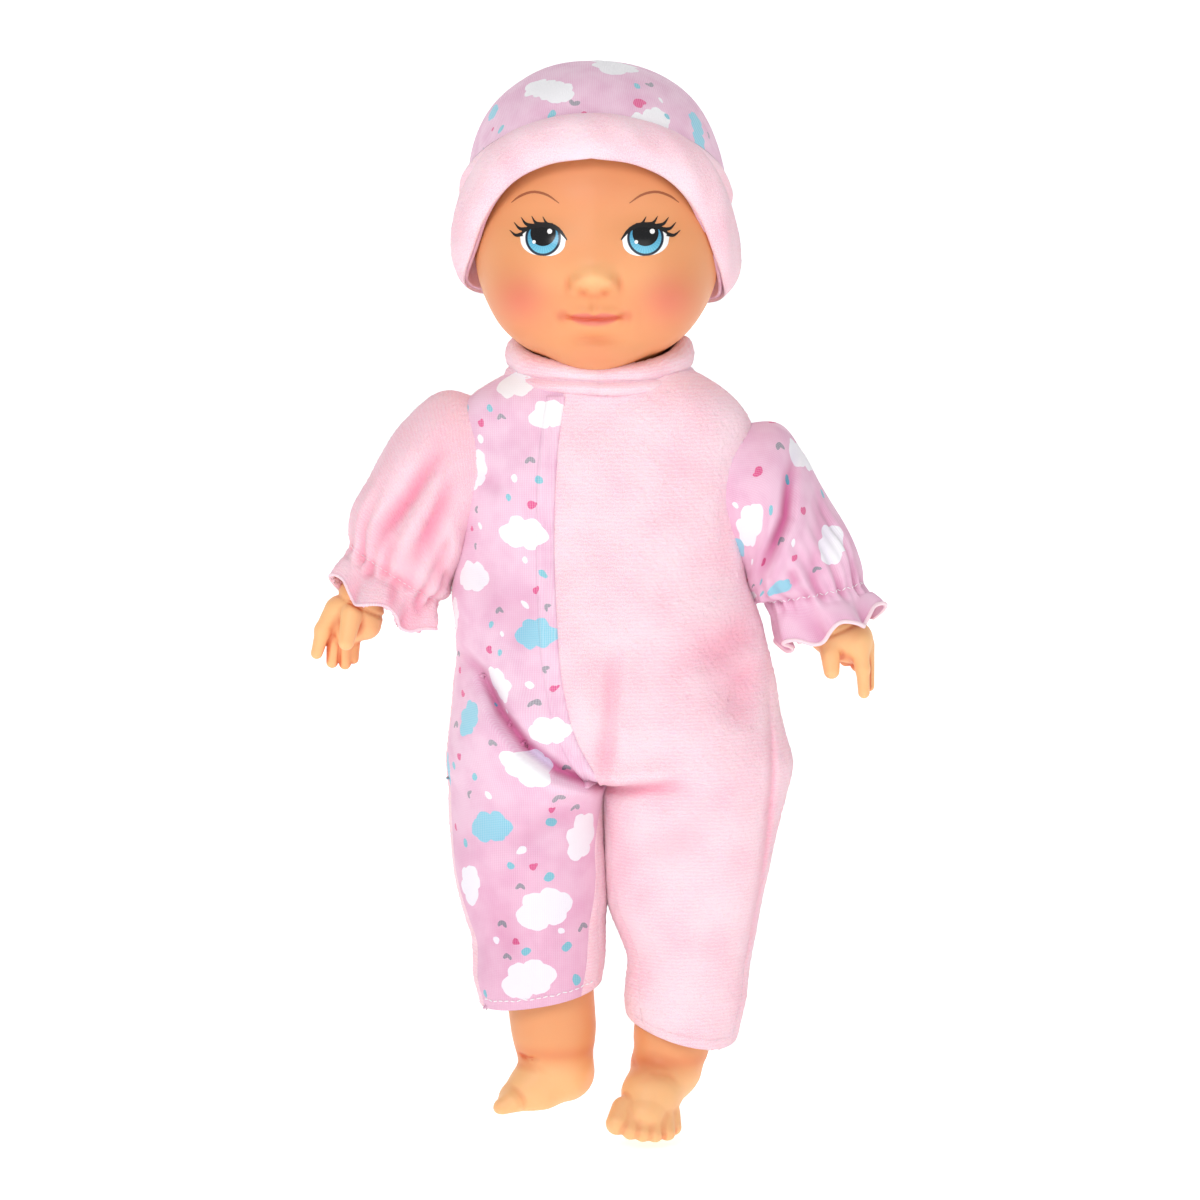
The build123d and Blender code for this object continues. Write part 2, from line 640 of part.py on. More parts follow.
TRAY_FLOOR = 1.2
BAY_BOTTOM = CELL_BOTTOM_Z - 4
BAY_TOP = CELL_BOTTOM_Z + CELL_LENGTH + 1.6
bay_middle = (BAY_BOTTOM + BAY_TOP) / 2
POCKET_WIDTH = 4.4
POCKET_HEIGHT = 34
with BuildPart() as case_back:
    add(back_block)
    # battery bay, with a ledge for the door
    with BuildSketch(across_case(CASE_X, CASE_SPLIT_Y + TRAY_FLOOR, bay_middle)):
        Rectangle(2 * CELL_RADIUS + CELL_PITCH + 1, BAY_TOP - BAY_BOTTOM)
    extrude(amount=20, mode=Mode.SUBTRACT)
    with BuildSketch(across_case(CASE_X, CASE_BACK_Y - DOOR_THICK, CASE_Z)):
        Rectangle(DOOR_WIDTH + 0.4, DOOR_HEIGHT + 0.4)
    extrude(amount=DOOR_THICK, mode=Mode.SUBTRACT)
    # side pockets, open to the circuit board; the switch sits in the one on the doll's left
    for pocket_x in (CASE_X - 16, CASE_X + 16):
        with BuildSketch(across_case(pocket_x, CASE_SPLIT_Y, SWITCH_Z)):
            Rectangle(POCKET_WIDTH, POCKET_HEIGHT)
        extrude(amount=CASE_BACK_Y - CASE_SPLIT_Y - CASE_WALL, mode=Mode.SUBTRACT)
    with BuildSketch(across_case(SWITCH_X, CASE_SPLIT_Y, SWITCH_Z + SWITCH_TRAVEL / 2)):
        Rectangle(2.6, 4 + SWITCH_TRAVEL + 0.6)
    extrude(amount=20, mode=Mode.SUBTRACT)
    # screw holes, counterbored from the back
    with BuildSketch(across_case(CASE_X, CASE_SPLIT_Y, CASE_Z)):
        with GridLocations(*SCREW_SPREAD, 2, 2):
            Circle(SCREW_RADIUS + 0.2)
    extrude(amount=20, mode=Mode.SUBTRACT)
    with BuildSketch(across_case(CASE_X, CASE_BACK_Y - 1.6, CASE_Z)):
        with GridLocations(*SCREW_SPREAD, 2, 2):
            Circle(2)
    extrude(amount=20, mode=Mode.SUBTRACT)
case_back.part.label = "case_back"
export_step(case_back.part, "parts/case_back.step")

with BuildPart() as case_screws:
    with BuildSketch(across_case(CASE_X, CASE_FRONT_Y + CASE_WALL + 2, CASE_Z)):
        with GridLocations(*SCREW_SPREAD, 2, 2):
            Circle(SCREW_RADIUS)
    extrude(amount=CASE_BACK_Y - 1.6 - CASE_FRONT_Y - CASE_WALL - 2)
    with BuildSketch(across_case(CASE_X, CASE_BACK_Y - 1.6, CASE_Z)):
        with GridLocations(*SCREW_SPREAD, 2, 2):
            Circle(1.9)
    extrude(amount=1.4)
    with BuildSketch(across_case(CASE_X, CASE_BACK_Y - 0.8, CASE_Z)):
        with GridLocations(*SCREW_SPREAD, 2, 2):
            Rectangle(2.2, 0.5)
            Rectangle(0.5, 2.2)
    extrude(amount=1, mode=Mode.SUBTRACT)
case_screws.part.label = "case_screws"
export_step(case_screws.part, "parts/case_screws.step")

door_screw_z = CASE_Z + DOOR_HEIGHT / 2 - 2.6
with BuildPart() as battery_door:
    with BuildSketch(across_case(CASE_X, CASE_BACK_Y - DOOR_THICK, CASE_Z)):
        RectangleRounded(DOOR_WIDTH, DOOR_HEIGHT, 1.5)
    extrude(amount=DOOR_THICK)
    # finger grooves
    for groove in range(3):
        with BuildSketch(across_case(CASE_X, CASE_BACK_Y - 0.5, CASE_Z - 14 - 3 * groove)):
            Rectangle(14, 1)
        extrude(amount=1, mode=Mode.SUBTRACT)
    with BuildSketch(across_case(CASE_X, CASE_BACK_Y - DOOR_THICK, door_screw_z)):
        Circle(SCREW_RADIUS + 0.1)
    extrude(amount=5, mode=Mode.SUBTRACT)
battery_door.part.label = "battery_door"
export_step(battery_door.part, "parts/battery_door.step")

with BuildPart() as door_screw:
    with BuildSketch(across_case(CASE_X, CASE_BACK_Y, door_screw_z)):
        Circle(1.9)
    extrude(amount=0.25)
    with BuildSketch(across_case(CASE_X, CASE_BACK_Y - DOOR_THICK, door_screw_z)):
        Circle(SCREW_RADIUS)
    extrude(amount=DOOR_THICK)
door_screw.part.label = "door_screw"
export_step(door_screw.part, "parts/door_screw.step")

# ---------------------------------------------------------------- sound module: power
with BuildPart() as battery_cells:
    for cell_x in (CASE_X - CELL_PITCH / 2, CASE_X + CELL_PITCH / 2):
        with BuildSketch(Plane((cell_x, CELL_Y, CELL_BOTTOM_Z))):
            Circle(CELL_RADIUS - 0.2)
        extrude(amount=CELL_LENGTH - 0.8)
        with BuildSketch(Plane((cell_x, CELL_Y, CELL_BOTTOM_Z))):
            Circle(1.9)
        extrude(amount=CELL_LENGTH)
battery_cells.part.label = "battery_cells"
export_step(battery_cells.part, "parts/battery_cells.step")

with BuildPart() as contact_plates:
    for cell_x in (CASE_X - CELL_PITCH / 2, CASE_X + CELL_PITCH / 2):
        for plate_z in (BAY_BOTTOM + 0.05, CELL_BOTTOM_Z + CELL_LENGTH + 0.05):
            with BuildSketch(Plane((cell_x, CELL_Y, plate_z))):
                Rectangle(8, 8)
            extrude(amount=0.4)
contact_plates.part.label = "contact_plates"
export_step(contact_plates.part, "parts/contact_plates.step")

contact_height = CELL_BOTTOM_Z - BAY_BOTTOM - 1.4
with BuildPart() as contact_springs:
    for cell_x in (CASE_X - CELL_PITCH / 2, CASE_X + CELL_PITCH / 2):
        start = (cell_x, CELL_Y, BAY_BOTTOM + 0.9)
        with BuildLine():
            coil = Helix(1.1, contact_height, 2.8, center=start)
        with BuildSketch(Plane(coil @ 0, z_dir=coil % 0)):
            Circle(0.3)
        sweep(path=coil, is_frenet=True)
contact_springs.part.label = "contact_springs"
export_step(contact_springs.part, "parts/contact_springs.step")

# ---------------------------------------------------------------- sound module: electronics
BOARD_Y = 11.2
BOARD_THICK = 1.2
with BuildPart() as circuit_board:
    with BuildSketch(across_case(CASE_X, BOARD_Y, CASE_Z)):
        Rectangle(CASE_WIDTH - 2 * CASE_WALL - 1, CASE_HEIGHT - 2 * CASE_WALL - 1)
        with GridLocations(*SCREW_SPREAD, 2, 2):
            Circle(3, mode=Mode.SUBTRACT)
    extrude(amount=BOARD_THICK)
circuit_board.part.label = "circuit_board"
export_step(circuit_board.part, "parts/circuit_board.step")

with BuildPart() as sound_chip:
    with BuildSketch(across_case(CASE_X + 11.5, BOARD_Y, CASE_Z + 9)):
        Circle(3.2)
    extrude(amount=-1.4)
    fillet(sound_chip.edges().group_by(Axis.Y)[0], 1)
sound_chip.part.label = "sound_chip"
export_step(sound_chip.part, "parts/sound_chip.step")

TACT_HEIGHT = 2.4
with BuildPart() as press_switch:
    with BuildSketch(across_case(CASE_X, BOARD_Y, BUTTON_Z)):
        Rectangle(6, 6)
    extrude(amount=-TACT_HEIGHT + 0.8)
    with BuildSketch(across_case(CASE_X, BOARD_Y, BUTTON_Z)):
        Circle(1.7)
    extrude(amount=-TACT_HEIGHT)
press_switch.part.label = "press_switch"
export_step(press_switch.part, "parts/press_switch.step")

with BuildPart() as speaker_frame:
    with BuildSketch(across_case(CASE_X, CASE_FRONT_Y + CASE_WALL, SPEAKER_Z)):
        Circle(SPEAKER_RADIUS)
        Circle(SPEAKER_RADIUS - 1.5, mode=Mode.SUBTRACT)
    extrude(amount=3)
    with BuildSketch(across_case(CASE_X, CASE_FRONT_Y + CASE_WALL + 3, SPEAKER_Z)):
        Circle(SPEAKER_RADIUS)
        Circle(6, mode=Mode.SUBTRACT)
    extrude(amount=0.8)
speaker_frame.part.label = "speaker_frame"
export_step(speaker_frame.part, "parts/speaker_frame.step")

cone_face_y = CASE_FRONT_Y + CASE_WALL + 0.6
with BuildPart() as speaker_cone:
    with BuildSketch(across_case(CASE_X, cone_face_y, SPEAKER_Z)):
        Circle(SPEAKER_RADIUS - 1.6)
    with BuildSketch(across_case(CASE_X, cone_face_y + 2.2, SPEAKER_Z)):
        Circle(6.5)
    loft()
    with BuildSketch(across_case(CASE_X, cone_face_y - 0.01, SPEAKER_Z)):
        Circle(SPEAKER_RADIUS - 2.6)
    with BuildSketch(across_case(CASE_X, cone_face_y + 1.6, SPEAKER_Z)):
        Circle(5.2)
    loft(mode=Mode.SUBTRACT)
speaker_cone.part.label = "speaker_cone"
export_step(speaker_cone.part, "parts/speaker_cone.step")

with BuildPart() as speaker_magnet:
    with BuildSketch(across_case(CASE_X, CASE_FRONT_Y + CASE_WALL + 3.8, SPEAKER_Z)):
        Circle(8.5)
    extrude(amount=3)
speaker_magnet.part.label = "speaker_magnet"
export_step(speaker_magnet.part, "parts/speaker_magnet.step")

with BuildPart() as speaker_wires:
    for wire_x in (CASE_X - 11.5, CASE_X + 11.5):
        with BuildSketch(across_case(wire_x, CASE_FRONT_Y + CASE_WALL + 3.8, SPEAKER_Z)):
            Circle(0.5)
        extrude(amount=BOARD_Y - CASE_FRONT_Y - CASE_WALL - 3.8)
speaker_wires.part.label = "speaker_wires"
export_step(speaker_wires.part, "parts/speaker_wires.step")

# ---------------------------------------------------------------- sound module: button and switch
flange_y = CASE_FRONT_Y + CASE_WALL + 0.15
with BuildPart() as voice_button:
    with BuildSketch(across_case(CASE_X, CASE_FRONT_Y - 3, BUTTON_Z)):
        Circle(BUTTON_RADIUS)
    extrude(amount=flange_y - CASE_FRONT_Y + 3)
    fillet(voice_button.edges().group_by(Axis.Y)[0], 1.2)
    with BuildSketch(across_case(CASE_X, flange_y, BUTTON_Z)):
        Circle(BUTTON_RADIUS + 1.3)
    extrude(amount=1.2)
    with BuildSketch(across_case(CASE_X, flange_y + 1.2, BUTTON_Z)):
        Circle(1.8)
    extrude(amount=BOARD_Y - TACT_HEIGHT - BUTTON_TRAVEL - 0.1 - flange_y - 1.2)
voice_button.part.label = "voice_button"
export_step(voice_button.part, "parts/voice_button.step")

spring_start = (CASE_X, flange_y + 1.2 + 0.4, BUTTON_Z)
with BuildPart() as button_spring:
    with BuildLine():
        coil = Helix(1.6, BOARD_Y - 0.8 - flange_y - 1.2, 5, center=spring_start, direction=(0, 1, 0))
    with BuildSketch(Plane(coil @ 0, z_dir=coil % 0)):
        Circle(0.3)
    sweep(path=coil, is_frenet=True)
button_spring.part.label = "button_spring"
export_step(button_spring.part, "parts/button_spring.step")

with BuildPart() as power_switch:
    with BuildSketch(across_case(SWITCH_X, CASE_BACK_Y - CASE_WALL - 1.3, SWITCH_Z)):
        Rectangle(4, 9)
    extrude(amount=1.2)
    with BuildSketch(across_case(SWITCH_X, CASE_BACK_Y - CASE_WALL - 0.1, SWITCH_Z)):
        Rectangle(2.2, 4)
    extrude(amount=CASE_WALL + 0.1)
power_switch.part.label = "power_switch"
export_step(power_switch.part, "parts/power_switch.step")
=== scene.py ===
import math
from itertools import product

import bpy
import numpy as np
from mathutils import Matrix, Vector
from mathutils.bvhtree import BVHTree


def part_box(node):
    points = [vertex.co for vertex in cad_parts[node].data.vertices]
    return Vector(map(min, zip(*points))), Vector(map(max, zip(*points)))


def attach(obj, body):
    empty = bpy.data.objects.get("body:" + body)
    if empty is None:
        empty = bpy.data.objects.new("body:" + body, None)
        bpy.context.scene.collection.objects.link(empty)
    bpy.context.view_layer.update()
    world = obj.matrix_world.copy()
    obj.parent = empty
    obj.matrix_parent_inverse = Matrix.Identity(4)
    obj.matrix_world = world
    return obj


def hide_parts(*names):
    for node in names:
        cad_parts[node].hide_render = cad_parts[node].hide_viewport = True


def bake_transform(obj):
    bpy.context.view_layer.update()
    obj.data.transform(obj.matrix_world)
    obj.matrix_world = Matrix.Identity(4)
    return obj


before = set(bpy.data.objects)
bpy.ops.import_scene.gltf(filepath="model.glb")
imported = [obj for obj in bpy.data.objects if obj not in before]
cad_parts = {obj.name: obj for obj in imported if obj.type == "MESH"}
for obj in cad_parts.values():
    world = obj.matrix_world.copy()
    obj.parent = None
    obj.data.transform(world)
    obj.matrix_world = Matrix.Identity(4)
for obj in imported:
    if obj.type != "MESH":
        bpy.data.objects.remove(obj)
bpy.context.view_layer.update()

# An interactive baby doll in a two-fabric romper and a plush-cuffed hat, built round its CAD frame.
# Shapes are worked out in millimetres and put into Blender in metres. The doll faces -Y, and +X is its left.
MM = 0.001


# ---------------------------------------------------------------- camera, lights and stage
VIEW_DISTANCE = 1.5
VIEW_ELEVATION = math.radians(5)
VIEW_CENTRE = Vector((0.0007, 0, 0.0141))
VIEW_WIDTH = 0.4236
SENSOR = 36


def make_camera():
    data = bpy.data.cameras.new("view")
    data.sensor_width = SENSOR
    data.lens = SENSOR * VIEW_DISTANCE / VIEW_WIDTH
    data.clip_end = 20
    camera = bpy.data.objects.new("view", data)
    bpy.context.scene.collection.objects.link(camera)
    out = Vector((0, -math.cos(VIEW_ELEVATION), math.sin(VIEW_ELEVATION)))
    camera.location = VIEW_CENTRE + out * VIEW_DISTANCE
    camera.rotation_euler = (math.radians(90) - VIEW_ELEVATION, 0, 0)
    bpy.context.scene.camera = camera


def make_light(name, place, size, power, colour=(1, 1, 1)):
    """A square softbox aimed at the doll's chest."""
    data = bpy.data.lights.new(name, "AREA")
    data.shape = "SQUARE"
    data.size = size
    data.energy = power
    data.color = colour
    light = bpy.data.objects.new(name, data)
    bpy.context.scene.collection.objects.link(light)
    light.location = place
    aim = Vector((0, 0, 0.04)) - Vector(place)
    light.rotation_euler = aim.to_track_quat("-Z", "Y").to_euler()


make_camera()
make_light("key", (-0.55, -1.5, 0.85), 0.75, 10.5)
make_light("fill", (0.9, -1.4, 0.3), 1.1, 3.2)

world = bpy.data.worlds.new("studio")
bpy.context.scene.world = world
world.use_nodes = True
world.node_tree.nodes["Background"].inputs["Color"].default_value = (1, 1, 1, 1)
world.node_tree.nodes["Background"].inputs["Strength"].default_value = 0.42
bpy.context.scene.view_settings.view_transform = "Standard"


# ---------------------------------------------------------------- mesh helpers
def mesh_object(name, points, faces, uv=None):
    """A smooth mesh from points in millimetres. uv, if given, is one pair for each point."""
    mesh = bpy.data.meshes.new(name)
    mesh.from_pydata((np.asarray(points, float) * MM).tolist(), [], np.asarray(faces).tolist())
    mesh.validate()
    mesh.polygons.foreach_set("use_smooth", [True] * len(mesh.polygons))
    if uv is not None:
        set_uv(mesh, uv)
    mesh.update()
    thing = bpy.data.objects.new(name, mesh)
    bpy.context.scene.collection.objects.link(thing)
    return thing


def set_uv(mesh, uv):
    """Gives each corner its point's cloth coordinates, in millimetres."""
    layer = mesh.uv_layers.new(name="cloth")
    loops = np.empty(len(mesh.loops), int)
    mesh.loops.foreach_get("vertex_index", loops)
    layer.data.foreach_set("uv", np.asarray(uv, float)[loops].ravel())


def grid_faces(rows, columns, closed=False):
    """Quads of a grid of points. closed joins the last column to the first."""
    across = columns if closed else columns - 1
    row, column = np.meshgrid(np.arange(rows - 1), np.arange(across), indexing="ij")
    here, below = row * columns, (row + 1) * columns
    after = (column + 1) % columns
    corners = [here + column, here + after, below + after, below + column]
    return np.stack([c.ravel() for c in corners], 1)


def get_points(thing):
    points = np.empty(len(thing.data.vertices) * 3)
    thing.data.vertices.foreach_get("co", points)
    return points.reshape(-1, 3) / MM


def set_points(thing, points):
    thing.data.vertices.foreach_set("co", (np.asarray(points) * MM).ravel())
    thing.data.update()


def get_normals(thing):
    normals = np.empty(len(thing.data.vertices) * 3)
    thing.data.vertices.foreach_get("normal", normals)
    return normals.reshape(-1, 3)


def apply_modifier(thing, kind, **settings):
    """Adds a modifier and bakes it into the mesh."""
    modifier = thing.modifiers.new(kind.lower(), kind)
    for key, value in settings.items():
        setattr(modifier, key, value)
    depsgraph = bpy.context.evaluated_depsgraph_get()
    mesh = bpy.data.meshes.new_from_object(thing.evaluated_get(depsgraph))
    thing.modifiers.clear()
    thing.data = mesh
    return thing


def curve_through(x, keys, values):
    """A smooth curve through (key, value) pairs, level beyond its ends."""
    keys = np.asarray(keys, float)
    values = np.asarray(values, float)
    slopes = np.gradient(values, keys)
    i = np.clip(np.searchsorted(keys, x) - 1, 0, len(keys) - 2)
    gap = keys[i + 1] - keys[i]
    t = np.clip((x - keys[i]) / gap, 0, 1)
    start = (2 * t**3 - 3 * t**2 + 1) * values[i] + (t**3 - 2 * t**2 + t) * gap * slopes[i]
    return start + (3 * t**2 - 2 * t**3) * values[i + 1] + (t**3 - t**2) * gap * slopes[i + 1]


def smooth_step(low, high, x):
    t = np.clip((x - low) / (high - low), 0, 1)
    return t * t * (3 - 2 * t)


# ---------------------------------------------------------------- implicit shapes
def ball(p, centre, radii):
    """Distance to an ellipsoid."""
    q = p - np.asarray(centre, float)
    radii = np.asarray(radii, float)
    near = np.linalg.norm(q / radii, axis=-1)
    steep = np.linalg.norm(q / radii**2, axis=-1) + 1e-9
    return near * (near - 1) / steep


def rod(p, start, end, start_radius, end_radius):
    """Distance to a tapered rod with round ends."""
    start = np.asarray(start, float)
    way = np.asarray(end, float) - start
    t = np.clip(((p - start) @ way) / (way @ way), 0, 1)
    radius = start_radius + (end_radius - start_radius) * t
    return np.linalg.norm(p - start - t[..., None] * way, axis=-1) - radius


def join(a, b, soft):
    """The union of two shapes with a soft fillet between them."""
    h = np.clip(0.5 + 0.5 * (b - a) / soft, 0, 1)
    return b * (1 - h) + a * h - soft * h * (1 - h)


def bump(u, v, centre, widths):
    """A smooth bump of height 1."""
    return np.exp(-((u - centre[0]) / widths[0]) ** 2 - ((v - centre[1]) / widths[1]) ** 2)


def gradient(field, p, step=0.05):
    parts = []
    for axis in range(3):
        nudge = np.zeros(3)
        nudge[axis] = step
        parts.append((field(p + nudge) - field(p - nudge)) / (2 * step))
    return np.stack(parts, -1)


def settle(field, p, rounds=4):
    """Moves points onto the surface where the field is zero."""
    for _ in range(rounds):
        slope = gradient(field, p)
        size = (slope**2).sum(-1) + 1e-6
        p = p - np.clip(field(p) / size, -2, 2)[:, None] * slope
    return p


def surface(field, low, high, step, relax=3):
    """Points and quads of the surface where the field is zero, on a grid of cells of that step."""
    axes = [np.arange(a, b + step, step) for a, b in zip(low, high)]
    shape = [len(axis) for axis in axes]
    inside = np.empty(shape, bool)
    plane = np.stack(np.meshgrid(axes[1], axes[2], indexing="ij"), -1).reshape(-1, 2)
    for i, x in enumerate(axes[0]):
        p = np.column_stack([np.full(len(plane), x), plane])
        inside[i] = (field(p) < 0).reshape(shape[1:])
    count = np.zeros([n - 1 for n in shape], int)
    for i, j, k in product((0, 1), repeat=3):
        count += inside[i : shape[0] - 1 + i, j : shape[1] - 1 + j, k : shape[2] - 1 + k]
    active = (count > 0) & (count < 8)
    index = np.full(active.shape, -1)
    index[active] = np.arange(active.sum())
    cells = np.argwhere(active)
    points = np.array([a[0] for a in axes]) + (cells + 0.5) * step
    faces = []
    for axis in range(3):
        b, c = (axis + 1) % 3, (axis + 2) % 3
        first = np.take(inside, range(shape[axis] - 1), axis)
        second = np.take(inside, range(1, shape[axis]), axis)
        for filled, turn in ((first & ~second, 1), (second & ~first, -1)):
            spots = np.argwhere(filled)
            spots = spots[(spots[:, b] > 0) & (spots[:, c] > 0)]
            spots = spots[(spots[:, b] < shape[b] - 1) & (spots[:, c] < shape[c] - 1)]
            ring = []
            for shift_b, shift_c in ((0, 0), (-1, 0), (-1, -1), (0, -1))[::turn]:
                cell = spots.copy()
                cell[:, b] += shift_b
                cell[:, c] += shift_c
                ring.append(index[cell[:, 0], cell[:, 1], cell[:, 2]])
            faces.append(np.stack(ring, 1))
    faces = np.concatenate(faces)
    points = settle(field, points)
    for _ in range(relax):
        points = settle(field, soften(points, faces), 2)
    return points, faces


def soften(points, faces, weight=0.5):
    """Moves each point part of the way to the mean of its neighbours."""
    total = np.zeros_like(points)
    count = np.zeros(len(points))
    for shift in (1, 3):
        other = np.roll(faces, shift, 1)
        np.add.at(total, faces.ravel(), points[other.ravel()])
        np.add.at(count, faces.ravel(), 1)
    return points + weight * (total / np.maximum(count, 1)[:, None] - points)


def divide(points, faces, field):
    """Cuts each quad in four and moves the new points onto the surface."""
    edges = np.sort(np.stack([faces, np.roll(faces, -1, 1)], -1).reshape(-1, 2), 1)
    unique, where = np.unique(edges, axis=0, return_inverse=True)
    middles = points[unique].mean(1)
    centres = points[faces].mean(1)
    edge_ids = len(points) + where.reshape(-1, 4)
    centre_ids = len(points) + len(unique) + np.arange(len(faces))
    quads = [
        np.stack([faces[:, i], edge_ids[:, i], centre_ids, edge_ids[:, i - 1]], 1) for i in range(4)
    ]
    points = np.concatenate([points, middles, centres])
    return settle(field, points, 3), np.concatenate(quads)


def snap(points, faces, value, reach=0.27):
    """Moves points that nearly lie on the cut onto it, so that the cut leaves no slivers."""
    points, value = points.copy(), value.copy()
    edges = np.unique(np.sort(np.stack([faces, np.roll(faces, -1, 1)], -1).reshape(-1, 2), 1), axis=0)
    edges = edges[(value[edges[:, 0]] < 0) != (value[edges[:, 1]] < 0)]
    t = value[edges[:, 0]] / (value[edges[:, 0]] - value[edges[:, 1]])
    meet = points[edges[:, 0]] + t[:, None] * (points[edges[:, 1]] - points[edges[:, 0]])
    for end, near in ((0, t < reach), (1, t > 1 - reach)):
        points[edges[near, end]] = meet[near]
        value[edges[near, end]] = -1e-7
    return points, value


def cut(points, faces, value):
    """Keeps the part of a triangle mesh where value is below zero, with a clean edge on the cut."""
    points, value = snap(points, faces, value)
    below = value[faces] < 0
    kept = faces[below.all(1)]
    crossing = faces[below.any(1) & ~below.all(1)]
    below = value[crossing] < 0
    one = below.sum(1) == 1
    lone = np.where(one, below.argmax(1), (~below).argmax(1))
    row = np.arange(len(crossing))
    a = crossing[row, lone]
    b = crossing[row, (lone + 1) % 3]
    c = crossing[row, (lone + 2) % 3]
    edges = np.sort(np.concatenate([np.stack([a, b], 1), np.stack([a, c], 1)]), 1)
    unique, where = np.unique(edges, axis=0, return_inverse=True)
    where = where.ravel()
    t = value[unique[:, 0]] / (value[unique[:, 0]] - value[unique[:, 1]])
    fresh = points[unique[:, 0]] + t[:, None] * (points[unique[:, 1]] - points[unique[:, 0]])
    ab = len(points) + where[: len(crossing)]
    ac = len(points) + where[len(crossing) :]
    new_faces = [
        np.stack([a, ab, ac], 1)[one],
        np.stack([ab, b, c], 1)[~one],
        np.stack([ab, c, ac], 1)[~one],
    ]
    points = np.concatenate([points, fresh])
    return weld(points, np.concatenate([kept, *new_faces]), 0.01)


def rim_points(count, faces):
    """Which points lie on the open edges of a triangle mesh."""
    edges = np.sort(np.stack([faces, np.roll(faces, -1, 1)], -1).reshape(-1, 2), 1)
    unique, uses = np.unique(edges, axis=0, return_counts=True)
    on_rim = np.zeros(count, bool)
    on_rim[unique[uses == 1].ravel()] = True
    return on_rim


def weld(points, faces, gap):
    """Joins the ends of edges shorter than gap, and leaves out the faces and points that this empties."""
    edges = np.unique(np.sort(np.stack([faces, np.roll(faces, -1, 1)], -1).reshape(-1, 2), 1), axis=0)
    short = edges[np.linalg.norm(points[edges[:, 0]] - points[edges[:, 1]], axis=1) < gap]
    label = np.arange(len(points))
    for _ in range(6):
        low = label[short].min(1)
        np.minimum.at(label, short[:, 0], low)
        np.minimum.at(label, short[:, 1], low)
    faces = label[faces]
    whole = (faces[:, 0] != faces[:, 1]) & (faces[:, 1] != faces[:, 2]) & (faces[:, 2] != faces[:, 0])
    used, faces = np.unique(faces[whole], return_inverse=True)
    return points[used], faces.reshape(-1, 3)


def triangles(quads):
    return np.concatenate([quads[:, [0, 1, 2]], quads[:, [0, 2, 3]]])


def add_values(thing, name, values):
    """Stores one colour for each point, for the materials to read."""
    layer = thing.data.attributes.new(name, "FLOAT_COLOR", "POINT")
    colours = np.zeros((len(thing.data.vertices), 4))
    colours[:, : values.shape[1]] = values
    colours[:, 3] = 1
    layer.data.foreach_set("color", colours.ravel())


def ribbon(front, line, widths, lift, spread=14):
    """A thin painted stroke on a surface. front gives the surface's y at (x, z)."""
    line = np.asarray(line, float)
    steps = np.linspace(0, len(line) - 1, spread)
    keys = np.arange(len(line))
    centre = np.stack([curve_through(steps, keys, line[:, i]) for i in (0, 1)], 1)
    along = np.gradient(centre, axis=0)
    across = np.stack([-along[:, 1], along[:, 0]], 1) / np.linalg.norm(along, axis=1)[:, None]
    half = np.interp(steps, np.linspace(0, len(line) - 1, len(widths)), widths)[:, None] / 2
    sides = np.stack([centre + across * half * k for k in (-1, -0.4, 0.4, 1)], 1)
    flat = sides.reshape(-1, 2)
    points = np.column_stack([flat[:, 0], front(flat[:, 0], flat[:, 1], lift), flat[:, 1]])
    return points, grid_faces(spread, 4)


def merge(parts):
    """One mesh from several (points, faces) pairs."""
    points, faces, start = [], [], 0
    for p, f in parts:
        points.append(p)
        faces.append(np.asarray(f) + start)
        start += len(p)
    return np.concatenate(points), np.concatenate(faces)


# ---------------------------------------------------------------- materials
def new_material(name):
    material = bpy.data.materials.new(name)
    material.use_nodes = True
    tree = material.node_tree
    return material, tree.nodes, tree.links, tree.nodes["Principled BSDF"]


def linear(r, g, b):
    """Shader colour from an 8-bit screen colour."""
    out = []
    for c in (r, g, b):
        c = c / 255
        out.append(c / 12.92 if c <= 0.04045 else ((c + 0.055) / 1.055) ** 2.4)
    return (*out, 1)


def plain(name, colour, roughness=0.5, metallic=0.0, bump_scale=0, bump_strength=0.1):
    """A simple procedural finish with an optional fine grain."""
    material, nodes, links, shader = new_material(name)
    shader.inputs["Base Color"].default_value = colour
    shader.inputs["Roughness"].default_value = roughness
    shader.inputs["Metallic"].default_value = metallic
    if bump_scale:
        grain = noise_node(nodes, links, bump_scale, object_coordinates(nodes))
        add_bump(nodes, links, shader, grain, bump_strength)
    return material


def object_coordinates(nodes):
    return nodes.new("ShaderNodeTexCoord").outputs["Object"]


def cloth_coordinates(nodes):
    node = nodes.new("ShaderNodeUVMap")
    node.uv_map = "cloth"
    return node.outputs["UV"]


def noise_node(nodes, links, scale, vector, detail=2.0):
    node = nodes.new("ShaderNodeTexNoise")
    node.inputs["Scale"].default_value = scale
    node.inputs["Detail"].default_value = detail
    links.new(vector, node.inputs["Vector"])
    return node.outputs["Fac"]


def add_bump(nodes, links, shader, height, strength, distance=0.0004):
    node = nodes.new("ShaderNodeBump")
    node.inputs["Strength"].default_value = strength
    node.inputs["Distance"].default_value = distance
    links.new(height, node.inputs["Height"])
    links.new(node.outputs["Normal"], shader.inputs["Normal"])


def maths(nodes, links, kind, *values):
    node = nodes.new("ShaderNodeMath")
    node.operation = kind
    for socket, value in zip(node.inputs, values):
        if isinstance(value, (int, float)):
            socket.default_value = value
        else:
            links.new(value, socket)
    return node.outputs[0]


